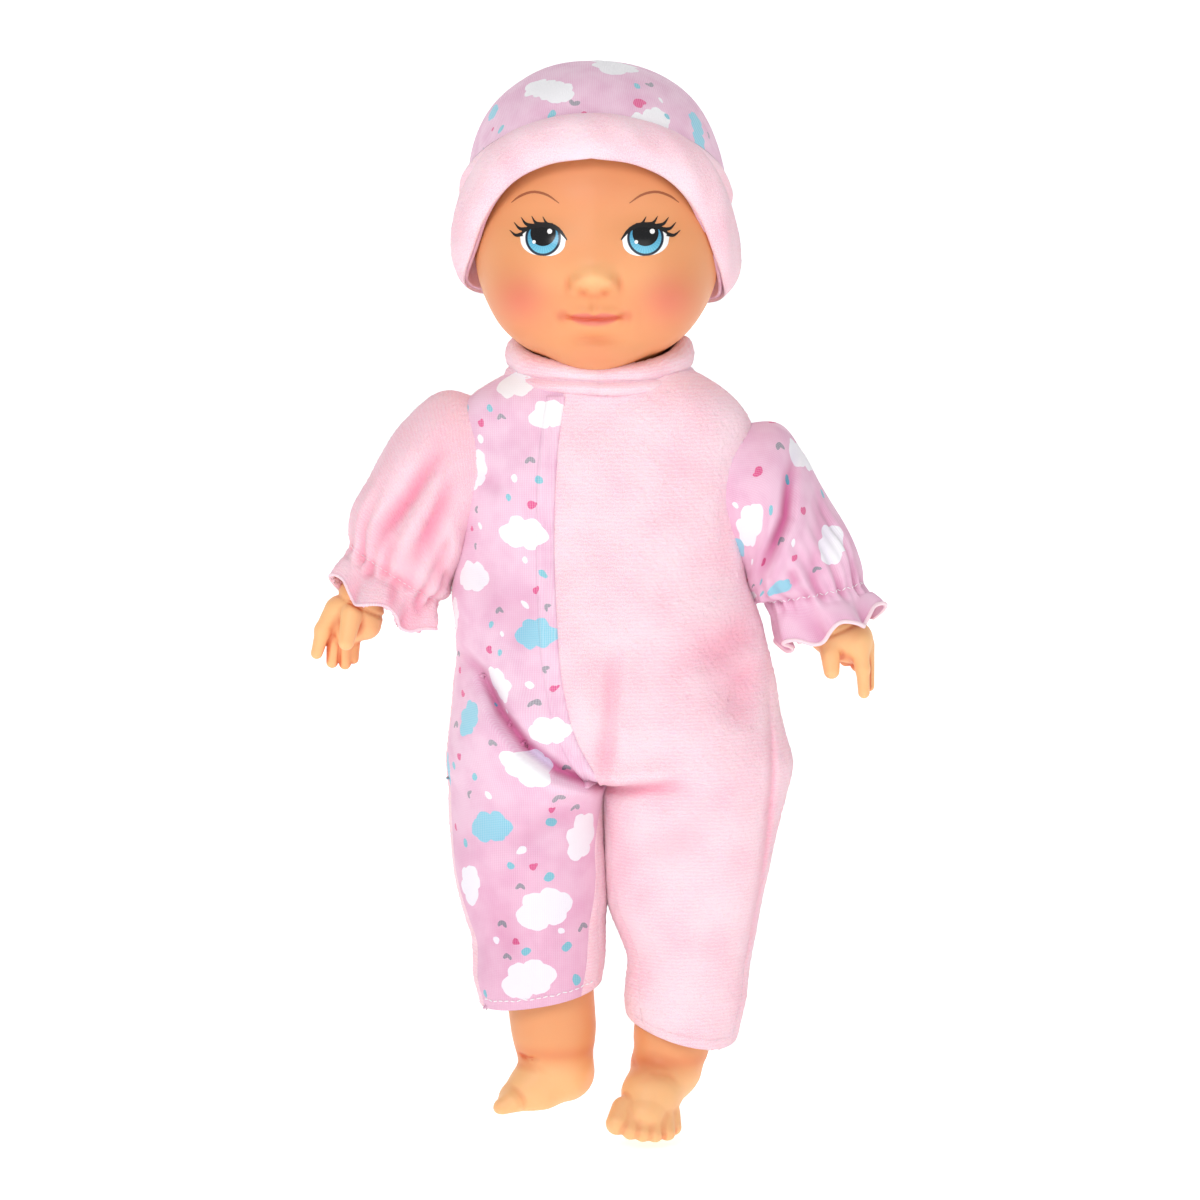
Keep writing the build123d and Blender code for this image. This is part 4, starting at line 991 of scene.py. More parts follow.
def make_cuff():
    """The turned-up plush cuff: a soft roll that follows the crown's edge."""
    around, mean_radius = 900, 49
    turns = np.linspace(-math.pi, math.pi, around + 1)[:-1]
    degrees = np.degrees(np.abs(turns))
    low = hat_edge(turns)
    high = 159.5 + 24 * np.cos(turns)
    outer = np.linspace(0, 1, 64)
    inner = np.linspace(1, 0, 8)[1:-1]
    s = np.concatenate([outer, inner])[:, None]
    low_side = 0.32 * smooth_step(40, 90, degrees)
    shifted = np.clip(s * (1 + low_side), 0, 1)
    bulge = np.clip(1 - np.abs(2 * shifted - 1) ** 2.4, 0, 1) ** 0.7
    bulge = np.maximum(bulge, low_side * 1.3 * np.exp(-(((s - 0.93) / 0.07) ** 2)))
    is_outer = (np.arange(len(s)) < len(outer))[:, None]
    depth = np.where(is_outer, 0.6 + 4.2 * bulge, 0.25 - 0.2 * bulge)
    z = low + s * (high - low)
    turn = np.broadcast_to(turns, z.shape)
    lump = 0.35 * np.sin(9 * turn + 2 * np.sin(4 * turn)) + 0.3 * np.sin(17 * turn + 5 * s)
    lump = lump + 0.25 * np.sin(5 * turn - 4 * s)
    points = hat_point(turn, z, depth + lump * bulge * is_outer)
    rng = np.random.default_rng(3)
    points = points + rng.normal(0, 0.07, points.shape) * (bulge * is_outer)[..., None]
    uv = np.stack([turn * mean_radius, z], -1).reshape(-1, 2)
    count = len(s)
    flat = turn_head(points.reshape(-1, 3))
    faces = grid_faces(count, around, True)
    last = (count - 1) * around + np.arange(around)
    close = np.stack([last, np.roll(last, -1), np.roll(np.arange(around), -1), np.arange(around)], 1)
    cuff = mesh_object("hat_cuff_plush", flat, np.concatenate([faces, close]), uv)
    cuff.data.materials.append(plush_cuff)
    return cuff


crown = make_crown()
cuff = make_cuff()
for thing, node, kind in ((crown, "hat_crown", "jersey_print"), (cuff, "hat_cuff", "plush_pink")):
    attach(thing, "hat")
    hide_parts(node)


# ---------------------------------------------------------------- romper
# The body's edges and depth at each height, then each leg's two edges and the legs' depth.
LEFT_EDGE = (
    [-54, -42, -28, -21, -14, -7, 0, 7, 14, 28, 39, 49, 63, 74, 80, 86.5, 92, 96, 99],
    [-52.5, -52.8, -51.8, -50.8, -50.1, -49.4, -50, -50.8, -51.6, -50, -49, -50, -51.5, -49.5, -47.5,
     -43.4, -36, -29, -22],
)
RIGHT_EDGE = (
    [-54, -42, -35, -28, -21, -14, -7, 0, 7, 14, 25, 42, 56, 65, 73, 80, 86, 91, 96, 99],
    [66, 67.2, 66, 65, 63.8, 62.4, 60.3, 58.4, 57, 55, 52.2, 50.5, 51.5, 53.5, 55, 53, 48, 41, 31, 23],
)
DEPTH = ([-54, -25, -5, 20, 50, 74, 86, 92, 96, 99], [35, 36, 35.5, 34, 32, 30, 27.5, 24.5, 22, 18])
LEG_DEPTH = ([-146, -127, -106, -92, -63, -42, -20], [19.5, 21, 24, 27, 31.5, 33, 31])
RIGHT_LEG = ([-131, -127, -120, -113, -106, -99, -92, -78, -70, -56, -42, -20],
             [-41.2, -41.9, -44, -44.6, -45.1, -47.2, -48.9, -51.6, -52.6, -53.4, -51.6, -46],
             [-0.6, 0.2, 2.2, 3.4, 3.2, 2.8, 3.2, 3.4, 3.0, 2.2, 1.4, 1])
LEFT_LEG = ([-146, -141, -134, -127, -120, -113, -106, -99, -92, -78, -63, -49, -42, -20],
            [14.4, 13.8, 10.4, 9.2, 9.3, 9.6, 7.4, 5.0, 3.2, 1.6, 1.2, 1.0, 1.0, 1],
            [48.8, 50, 51.8, 53.4, 54, 54.6, 55.4, 56.2, 57.6, 61.8, 65.3, 67, 65.5, 58])


def section(p, left, right, depth, power):
    """Distance to a body of rounded sections between two edges."""
    middle, half = (left + right) / 2, (right - left) / 2
    q = (np.abs((p[..., 0] - middle) / half) ** power + np.abs(p[..., 1] / depth) ** power) ** (1 / power)
    return (q - 1) * np.minimum(half, depth)


def torso_field(p):
    z = p[..., 2]
    left, right = curve_through(z, *LEFT_EDGE), curve_through(z, *RIGHT_EDGE)
    d = section(p, left, right, curve_through(z, *DEPTH), 2.35)
    return -join(-d, z + 49.5, 9)


def leg_field(p, leg):
    """One trouser leg."""
    z = p[..., 2]
    left, right = curve_through(z, leg[0], leg[1]), curve_through(z, leg[0], leg[2])
    depth = curve_through(z, *LEG_DEPTH)
    d = section(p, left, right, depth, 2.15)
    return -join(-d, -(z + 18), 10)


def line_distance(x, z, line):
    """Distance to a line of points, and how far along it the nearest place is."""
    best, place = np.full(np.shape(x), 1e9), np.zeros(np.shape(x))
    lengths = [math.dist(a, b) for a, b in zip(line, line[1:])]
    start = 0.0
    for (ax, az), (bx, bz), length in zip(line, line[1:], lengths):
        t = np.clip(((x - ax) * (bx - ax) + (z - az) * (bz - az)) / length**2, 0, 1)
        away = np.hypot(x - ax - t * (bx - ax), z - az - t * (bz - az))
        place = np.where(away < best, (start + t * length) / sum(lengths), place)
        best = np.minimum(best, away)
        start += length
    return best, place


CROTCH = (0.5, -49.0)


def crease(x, z, line, width):
    """A fold's strength near its line. It dies away at its ends, apart from an end at the crotch."""
    away, place = line_distance(x, z, line)
    strength = np.exp(-((away / width) ** 2))
    if math.dist(line[0], CROTCH) > 6:
        strength = strength * smooth_step(-0.05, 0.4, place)
    if math.dist(line[-1], CROTCH) > 6:
        strength = strength * smooth_step(1.05, 0.6, place)
    return strength


# Folds in the front of the cloth: the line in (x, z), its width and its depth, which is negative on a ridge.
PRINT_FOLDS = [
    (((-52, -1), (-46, -4), (-40.2, -9), (-34, -22), (-25, -34), (-14, -42.3), (0.5, -48)), 2.6, 4.2),
    (((-52, -6), (-44, -13), (-38, -26), (-28, -38.5), (-16, -47), (-2, -53)), 4.5, -2.6),
    (((-45, 4), (-33, -6), (-27, -20), (-18, -32)), 7, -1.6),
    (((-1, -52), (-22, -64), (-38, -72)), 5, 0.9), (((-4, -60), (-22, -76), (-36, -80)), 6, -0.8),
    (((-46, 34), (-38, 20), (-36, 4)), 6, 0.8), (((-22, 24), (-28, 8), (-30, -8)), 7, 0.9),
    (((-6, -75), (-16, -95), (-20, -116)), 8, -0.6), (((-34, -88), (-30, -112)), 5, 0.6),
    (((-18, 84), (-24, 60), (-20, 40)), 8, -0.7), (((-44, 62), (-36, 56), (-30, 58)), 3, 0.8),
]
PLAIN_FOLDS = [
    (((6.6, 4), (5.2, -12), (4.2, -30), (1.5, -46)), 3.0, 2.2),
    (((12, 0), (11, -20), (7.5, -42)), 5.5, -1.6), (((-4, 10), (-6, -12), (-3, -32)), 5, -1.3),
    (((0.5, -50.5), (12, -49.2), (27, -47.6), (33, -47.2)), 2.4, 2.6),
    (((2, -45.5), (14, -43.6), (28, -42.5)), 4, -1.6), (((6, -56), (20, -56), (32, -53)), 5, -1.2),
    (((57, 12), (46, 2), (37, -4), (30, -6)), 5.5, 2.2), (((54, -2), (48, -14), (47, -30)), 5.5, 1.6),
    (((60, -2), (60, -20), (61, -44), (59, -70), (56, -95), (51, -118), (49, -138)), 1.3, 1.5),
    (((14, -72), (28, -66), (40, -68)), 6, 0.8), (((12, -84), (26, -96), (30, -120)), 8, -0.7),
    (((20, 70), (26, 40), (22, 20)), 12, -0.7), (((49, 58), (44, 46), (46, 30)), 4, 0.8),
]


def folds(p, lines):
    x, y, z = p[..., 0], p[..., 1], p[..., 2]
    total = np.zeros(np.shape(x))
    for line, width, depth in lines:
        total += depth * crease(x, z, line, width)
    total *= smooth_step(-4, -14, y)
    soft = 0.35 * np.sin(x / 6.1 + z / 17 + 1) + 0.3 * np.sin(x / 11 - z / 8.3)
    soft = soft + 0.25 * np.sin(z / 6.7 + y / 9)
    back = 0.8 * np.exp(-(((z + 44 + 0.004 * x * x) / 3.0) ** 2)) * smooth_step(5, 20, y)
    back += 0.7 * np.exp(-(((z - 4 + 0.2 * x) / 5.0) ** 2)) * smooth_step(5, 20, y)
    return total + soft + back


def fold_shade(p, lines, spread=0.85, strength=0.34):
    """How deep in a fold each point of the front is, from 0 to 1: the amount of painted shade it gets."""
    total = 0
    for line, width, depth in lines:
        total = total + depth * crease(p[:, 0], p[:, 2], line, width * spread)
    return np.clip(strength * total * smooth_step(0, -10, p[:, 1]), 0, 1)


def print_side(p):
    return join(torso_field(p), leg_field(p, RIGHT_LEG), 6) + folds(p, PRINT_FOLDS)


def plain_side(p):
    return join(torso_field(p), leg_field(p, LEFT_LEG), 6) + folds(p, PLAIN_FOLDS)


PLACKET = ([-47.7, -31.8, -14.1, 14.1, 42.4, 70.6, 90], [0.7, -8.1, -12.7, -15.2, -15.9, -14.5, -11.6])


def arc_length(turn, half, depth):
    """Length round an ellipse from its front."""
    total = 0
    for t in (np.arange(8) + 0.5) / 8:
        total = total + np.sqrt((half * np.cos(turn * t)) ** 2 + (depth * np.sin(turn * t)) ** 2) / 8
    return turn * total


def cloth_place(p, leg):
    """Cloth coordinates: the length round the body from its middle, and the height."""
    z = p[..., 2]
    results = []
    shapes = ((LEFT_EDGE, RIGHT_EDGE, DEPTH), ((leg[0], leg[1]), (leg[0], leg[2]), LEG_DEPTH))
    for left_curve, right_curve, depth_curve in shapes:
        left, right = curve_through(z, *left_curve), curve_through(z, *right_curve)
        middle, half = (left + right) / 2, (right - left) / 2
        depth = curve_through(z, *depth_curve)
        turn = np.arctan2((p[..., 0] - middle) / half, -p[..., 1] / depth)
        results.append(middle + arc_length(turn, half, depth))
    share = smooth_step(-58, -30, z)
    return np.stack([share * results[0] + (1 - share) * results[1], z], -1)


def hem_height(p, right):
    if right:
        return -124.5 + 0.18 * (p[..., 0] + 20) + 0.15 * p[..., 1]
    return -137 - 0.22 * (p[..., 0] - 31) + 0.25 * p[..., 1]


def side_seam(p):
    """The y of the side seams, further forward down the legs."""
    return -5 - 5 * smooth_step(-10, -60, p[..., 2])


def inner_seam(p, right):
    """How far the front leg panel stops short of the inner leg."""
    middle = -22 if right else 31
    towards = (p[..., 0] - middle) * (1 if right else -1)
    return smooth_step(5, 18, towards) * smooth_step(-50, -75, p[..., 2]) * (7 if right else 5)


def panel(points, faces, right, front):
    """One of the romper's four long panels, cut along its seams."""
    def keep(value_of):
        nonlocal points, faces
        points, faces = cut(points, faces, value_of(points))

    keep(lambda p: np.minimum(p[:, 2] - 84, 26 - np.hypot(p[:, 0], p[:, 1])))
    keep(lambda p: np.minimum(17 - np.hypot(p[:, 1], p[:, 2] - (61 if right else 55)), np.abs(p[:, 0]) - 40))
    keep(lambda p: hem_height(p, right) - p[:, 2])
    if front:
        keep(lambda p: p[:, 1] - side_seam(p) + inner_seam(p, right))
        limit = lambda p: curve_through(p[:, 2], *PLACKET)
    else:
        keep(lambda p: side_seam(p) - inner_seam(p, right) - p[:, 1])
        limit = lambda p: 0.7 + 0 * p[:, 2]
    spread = 16 * (1 if right else -1)
    sign = 1 if right else -1
    keep(lambda p: sign * (p[:, 0] - limit(p) - spread * smooth_step(-48, -54, p[:, 2])))
    return points, faces


# Motifs on the front of the romper by kind, where they are seen: (x, z, size, turn).
FRONT_MOTIFS = {
    "white": [
        (-30.7, 91.4, 1.0, 0.1), (-19.4, 80.8, 0.95, 0.2), (-42.4, 61.1, 1.0, 1.2),
        (-25.1, 39.9, 1.12, -0.1), (-43.1, 24.0, 1.05, 0.0), (-53, 9.5, 0.9, 1.2),
        (-31.1, -12.7, 0.95, -0.9), (-14.5, -28.2, 0.95, 0.1), (-22.2, -41.3, 1.1, -0.7),
        (-4.9, -66.7, 1.25, 0.9), (-46, -84.7, 1.05, 1.3), (-18.0, -91.8, 1.4, 0.35),
        (-26.5, -117.5, 1.35, 0.35),
    ],
    "blue": [
        (-46.6, 79.8, 0.8, 0.5), (-20.1, 5.3, 1.05, 0.1), (-39.2, -25.1, 1.0, 0.8),
        (-38.1, -62.5, 1.1, 0.1), (-53.5, -44.8, 0.85, 1.2),
    ],
    "magenta": [
        (-39.9, 77.3, 0.9, 0.9), (-22.6, 49.8, 1.1, -0.3), (-42.4, 40.6, 0.6, 1.3),
        (-20.8, 20.1, 0.95, 0.3), (-34.6, -0.7, 0.9, -1.2), (-45.5, -9.2, 0.8, -1.2),
        (-13.4, -13.4, 0.95, 0), (-43.4, -17.3, 0.95, -0.2), (-43.8, -39.2, 0.9, 0.3),
        (-15.5, -56.5, 0.8, 0.2), (-50.5, -64.6, 0.8, -1.1), (-22.6, -76.2, 0.95, 0.1),
        (-31.8, -103.8, 0.9, -0.9), (0.0, -101.7, 0.8, 1.2),
    ],
    "grey": [
        (-34.6, 79.8, 0.8, 0.2), (-45.5, 72.4, 0.8, 1.2), (-24.0, 65.3, 0.95, 0), (-40.9, 47.3, 0.7, 1.4),
        (-41.3, 34.6, 0.6, 1.3), (-16.2, 14.8, 0.8, 1.1), (-33.2, 12.7, 0.9, 0.2), (-48.0, -4.2, 0.8, 0),
        (-15.9, -6.7, 0.8, 0.9), (-18.7, -18.7, 1.0, 0.1), (-46.2, -28.2, 1.0, 0),
        (-29.3, -32.5, 1.0, 0.1), (-11.1, -41.5, 0.9, 0.2), (-14.1, -51.9, 1.1, 0.3),
        (-7.4, -56.1, 0.9, 0), (-45.1, -51.5, 0.8, 1.1), (-27.9, -83.7, 0.9, 0), (-36.4, -97.8, 1.0, 0),
        (-3.2, -99.2, 1.1, 0.3), (-35.3, -109.4, 0.9, 0),
    ],
    "teal": [
        (-37.4, 82.6, 0.9, 0.4), (-20.5, 58.2, 1.05, 0.8), (-30.0, 52.2, 0.8, 0.3),
        (-18.4, 25.8, 1.05, 0.9), (-35.3, 7.8, 0.75, 0), (-30.7, -1.8, 0.7, 0), (-46.5, -42.5, 0.9, 0.4),
        (-42.4, -45.5, 0.9, -0.4), (-15.5, -60.7, 1.3, 1.5), (-46.9, -69.5, 1.0, 0.5),
        (-31.1, -75.9, 0.95, 0.7), (-16.2, -80.1, 1.3, -0.9), (-26.8, -107.3, 1.15, -0.9),
        (-8.1, -105.9, 1.3, -0.8), (-40.9, -124.3, 0.9, 0), (-4.2, -117.9, 1.4, 0.4),
    ],
    "drop": [
        (-40.2, 72.0, 1.0, 0.3), (-28.6, 58.6, 0.95, 0), (-39.2, 41.7, 0.8, 0), (-24.4, 30.7, 0.75, 0),
        (-24.4, 15.2, 1.0, 0.9), (-31.4, 4.6, 0.6, 0), (-20.8, -12.4, 1.0, 0.9), (-38.5, -51.2, 1.0, 0.6),
        (-26.8, -70.6, 1.15, -0.9), (-10.6, -99.9, 0.9, 1.2), (-38.8, -104.1, 1.0, 0.6),
        (-29, -22, 0.6, 0),
    ],
}


def on_cloth(motifs):
    """Moves motifs from where they are seen on the front to their places on the cloth."""
    moved = {kind: [] for kind in INKS}
    for kind, (x, z, size, turn) in [(kind, spot) for kind in motifs for spot in motifs[kind]]:
        heights, inner, outer = RIGHT_LEG
        shape = (LEFT_EDGE, RIGHT_EDGE) if z > -45 else ((heights, inner), (heights, outer))
        left, right = (float(curve_through(np.array(z), *edge)) for edge in shape)
        share = min(max((2 * x - left - right) / (right - left), -0.97), 0.97)
        y = -34 * math.sqrt(1 - share**2)
        u, v = cloth_place(np.array([x, y, z]), RIGHT_LEG)
        moved[kind].append((float(u), float(v), size, turn))
    return moved


def build_panels(right):
    field = print_side if right else plain_side
    low, high = ((-62, -44, -134), (20, 44, 100)) if right else ((-22, -44, -150), (78, 44, 100))
    points, quads = surface(field, low, high, 1.6, relax=2)
    return [panel(points, triangles(quads), right, front) for front in (True, False)]


def plush_object(name, points, faces, uv, material, fuzz=0.1, thickness=1.5):
    """A brushed plush piece: its surface is slightly uneven, and it has thickness inwards."""
    thing = mesh_object(name, points, faces, uv[:, :2])
    # A third cloth column, if given, is the amount of painted fold shade.
    if uv.shape[1] > 2:
        add_values(thing, "fold", np.repeat(uv[:, 2:], 3, 1))
    rng = np.random.default_rng(len(points))
    lift = rng.normal(0, fuzz, len(points))[:, None] * ~rim_points(len(points), faces)[:, None]
    set_points(thing, get_points(thing) + lift * get_normals(thing))
    thing.data.materials.append(material)
    apply_modifier(thing, "SOLIDIFY", thickness=thickness * MM, offset=-1)
    return thing


plush = make_plush("plush_body", 1.3)


def make_romper():
    made = {}
    for right in (True, False):
        side, leg = ("right", RIGHT_LEG) if right else ("left", LEFT_LEG)
        field = print_side if right else plain_side
        for front, (points, faces) in zip((True, False), build_panels(right)):
            uv = cloth_place(points, leg)
            if not front:
                uv[:, 0] = np.arctan2(points[:, 0] - (0 if right else 6), points[:, 1]) * 40
            points, faces, uv = refine(points, faces, uv, field)
            if right and front:
                points, faces, uv = refine(points, faces, uv, field)
            # The fold value is painted shade in the fold hollows; the printed front is painted darker still
            # down the legs.
            if right:
                fold = fold_shade(points, PRINT_FOLDS, 1.0, 0.3)
            else:
                fold = fold_shade(points, PLAIN_FOLDS, 1.5, 0.22)
            if right and front:
                fold = np.clip(fold + 0.28 * smooth_step(-35, -95, points[:, 2]), 0, 1)
            uv = np.column_stack([uv, fold])
            if right and front:
                thing = printed_object("romper_front_print_jersey", points, faces, uv, on_cloth(FRONT_MOTIFS))
            else:
                name = f"romper_{'front' if front else 'back'}_{side}_plush"
                thing = plush_object(name, points, faces, uv, plush)
            top = f"romper_back_{side}"
            if front:
                top = "romper_front_print" if right else "romper_front_plain"
            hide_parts(top, f"trouser_{'front' if front else 'back'}_{side}")
            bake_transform(thing)
            made[front, right] = thing
    return made


romper = make_romper()


# ---------------------------------------------------------------- thread, placket and collar
thread_white = plain("thread_white", linear(252, 250, 252), 0.7)
thread_pink = plain("thread_pink", linear(250, 222, 230), 0.8)


def stitches(name, points, length=1.9, gap=0.6, radius=0.22, sway=0.0):
    """Sewn stitches along a line of points: a row of small rounded dashes."""
    points = np.asarray(points, float)
    steps = np.linalg.norm(np.diff(points, axis=0), axis=1)
    run = np.concatenate([[0], np.cumsum(steps)])
    starts = np.arange(0, run[-1] - length, length + gap)
    parts = []
    ring = np.linspace(0, 2 * math.pi, 6)[:-1]
    for i, start in enumerate(starts):
        ends = (start, start + length)
        a, b = (np.array([np.interp(s, run, points[:, k]) for k in range(3)]) for s in ends)
        way = (b - a) / np.linalg.norm(b - a)
        side = np.cross(way, (0.1, -1, 0.2))
        side /= np.linalg.norm(side)
        up = np.cross(side, way)
        swing = side * sway * (1 if i % 2 else -1)
        a, b = a - swing, b + swing
        dash = [a]
        for t, size in ((0.15, 0.75), (0.5, 1), (0.85, 0.75)):
            dash += [a + t * (b - a) + radius * size * (np.cos(r) * side + np.sin(r) * up) for r in ring]
        dash.append(b)
        faces = [[0, 1 + k, 1 + (k + 1) % 5] for k in range(5)]
        for layer in (0, 1):
            base = 1 + 5 * layer
            for k in range(5):
                n = (k + 1) % 5
                faces += [[base + k, base + 5 + k, base + 5 + n], [base + k, base + 5 + n, base + n]]
        faces += [[16, 11 + (k + 1) % 5, 11 + k] for k in range(5)]
        parts.append((np.array(dash), np.array(faces)))
    points, faces = merge(parts)
    return mesh_object(name, points, faces)


def cloth_front(field, x, z, lift):
    """The y of a cloth's front surface."""
    p = np.stack([x, np.full(np.shape(x), -48.0), z], -1)
    for _ in range(70):
        p[..., 1] += np.clip(field(p) - lift, -1.5, 6) * 0.6
    return p[..., 1]


def make_placket():
    """The print's turned edge down the middle of the front, sewn over the plush."""
    z = np.concatenate([np.linspace(87, -30, 200), np.linspace(-30.5, -49, 40)])[:, None]
    profile = [(-5.2, -0.3), (-4.9, 0.25), (-4.2, 0.55), (-3.1, 0.35), (-2.6, 0.4), (-1.6, 0.75),
               (-0.6, 0.8), (0.1, 0.6), (0.35, 0.1), (0.25, -0.5)]
    keys = np.arange(len(profile))
    steps = np.linspace(0, len(profile) - 1, 28)
    across, lift = (np.interp(steps, keys, [pair[i] for pair in profile])[None, :] for i in (0, 1))
    x = curve_through(z, *PLACKET) + across
    x, z = np.broadcast_arrays(x, z)
    lift = np.broadcast_to(lift, x.shape)
    points = np.stack([x, cloth_front(print_side, x, z, lift), z], -1).reshape(-1, 3)
    faces = triangles(grid_faces(x.shape[0], x.shape[1]))
    uv = cloth_place(points, RIGHT_LEG)
    thing = printed_object("placket_jersey", points, faces, uv, on_cloth(FRONT_MOTIFS), 0.5)
    z = np.linspace(86, -45, 240)
    x = curve_through(z, *PLACKET) - 3.0 + 0.15 * np.sin(z * 1.3)
    line = np.stack([x, cloth_front(print_side, x, z, 0.62), z], -1)
    thread = stitches("placket_stitches", line, 2.0, 0.5, 0.2, 0.1)
    thread.data.materials.append(thread_white)
    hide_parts("placket_strip")
    for piece in (thing, thread):
        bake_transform(piece)
    return thing


def make_collar():
    """A plush stand collar in two soft folds, lower at the front under the chin."""
    turns = np.linspace(0, 2 * math.pi, 241)[:-1]
    profile = [(25.5, 0.0), (29.5, -0.2), (32.4, 1.2), (33.6, 3.8), (33.0, 6.2), (31.6, 7.6), (32.6, 9.0)]
    profile += [(33.2, 11.5), (32.4, 14.4), (30.2, 16.5), (28.0, 16.8), (26.6, 15.2), (25.4, 12.0), (24.4, 8.0)]
    t = np.linspace(0, len(profile) - 1, 60)
    keys = np.arange(len(profile))
    radius = curve_through(t, keys, [r for r, _ in profile])[:, None]
    rise = curve_through(t, keys, [h for _, h in profile])[:, None]
    back = (1 - np.cos(turns))[None, :] / 2
    squash = 0.62 + 0.5 * np.clip(back * 1.9, 0, 1)
    lump = 0.5 * np.sin(5 * turns + 1) + 0.35 * np.sin(9 * turns + rise / 3)
    x = (radius + lump * 0.6) * np.sin(turns) + 0.6
    y = -(radius - 2.5 + lump * 0.5) * np.cos(turns) + 0.5
    z = 87.0 + rise * squash + 0.35 * np.sin(4 * turns + 2) + 1.2 * np.abs(np.sin(turns))
    points = np.stack([x, y, z], -1).reshape(-1, 3)
    uv = np.stack(np.broadcast_arrays(turns[None, :] * 30, t[:, None] * 2.3), -1).reshape(-1, 2)
    thing = plush_object("collar_plush", points, triangles(grid_faces(60, 240, True)), uv, plush, 0.1, 1.2)
    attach(thing, "torso")
    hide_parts("collar_band")
    return thing


placket = make_placket()
collar = make_collar()


# ---------------------------------------------------------------- sleeves
# Loops of a sleeve from the armhole to the ruffle: place along it, centre x and z, half size, lean in
# degrees, half depth.
SLEEVE_RIGHT = [
    (0.0, -38, 62, 21, 88, 19), (0.2, -49.5, 61, 27.6, 100, 21.5), (0.4, -57.5, 53, 27.2, 113, 22.5),
    (0.6, -63, 44.5, 25, 122, 21), (0.75, -66.3, 38, 23, 128, 19.5), (0.88, -69.8, 30.6, 21, 139, 17.5),
    (1.0, -71.9, 23.8, 18.3, 147.5, 15), (1.2, -74.3, 18.4, 18.4, 149.5, 16),
    (1.42, -76.6, 12.2, 18.6, 151, 17.5),
]
SLEEVE_LEFT = [
    (0.0, 42, 56, 19, 82, 18.5), (0.2, 56.5, 51.5, 26.3, 76, 21.5), (0.4, 62.2, 43, 26, 67.5, 22.5),
    (0.6, 66.2, 35, 23.2, 58, 21), (0.75, 69.2, 29.2, 21.3, 47, 19.5), (0.88, 72.6, 22.8, 19.3, 30, 17.5),
    (1.0, 76.2, 17, 17.6, 11, 15.5), (1.2, 79, 11.2, 18, 16, 16.5), (1.42, 82.2, 4.4, 18.6, 21, 18),
]
SLEEVE_FOLDS_RIGHT = [
    (((-50, 74), (-56, 66), (-64, 53), (-74, 41), (-79, 27)), 4.2, 3.0),
    (((-51, 64), (-55, 48), (-60, 37), (-66, 24)), 3.4, 2.6),
    (((-53, 66), (-60, 50), (-68, 38), (-72, 29)), 4.0, -2.0),
    (((-60, 76), (-71, 61), (-80, 47), (-84, 36)), 5, -1.6), (((-48, 50), (-50, 34), (-55, 20)), 3, -1.2),
    (((-49, 42), (-54, 28), (-57, 18)), 2.6, 1.6), (((-80.3, 30), (-80, 22)), 2.2, 1.8),
    (((-71, 27), (-71.5, 10)), 2.0, 1.8), (((-62, 18), (-62.3, 8)), 2.0, 1.6),
    (((-66.5, 22), (-66.3, 16)), 3.0, -1.5), (((-86, 36), (-84, 24)), 2.4, -0.9),
]
SLEEVE_FOLDS_LEFT = [
    (((70, 72), (67, 58), (65.5, 45), (61, 34), (57, 25), (56, 17)), 2.3, 4.2),
    (((73, 70), (70, 58), (69, 45), (64, 33), (60.5, 24), (60, 18)), 3.2, -2.4),
    (((59, 68), (57, 52), (55, 38)), 5, -0.8), (((77, 56), (79, 42), (82, 30)), 3.6, 1.2),
    (((84, 44), (86, 32), (88, 20)), 2.6, -1.0), (((76, 36), (75, 26), (76, 17)), 2.2, 1.2),
    (((66, 27), (70, 20)), 2.0, 1.2), (((89, 32), (91, 20)), 1.8, 1.1),
    (((71.5, 30), (72.5, 20)), 2.0, -0.9),
]


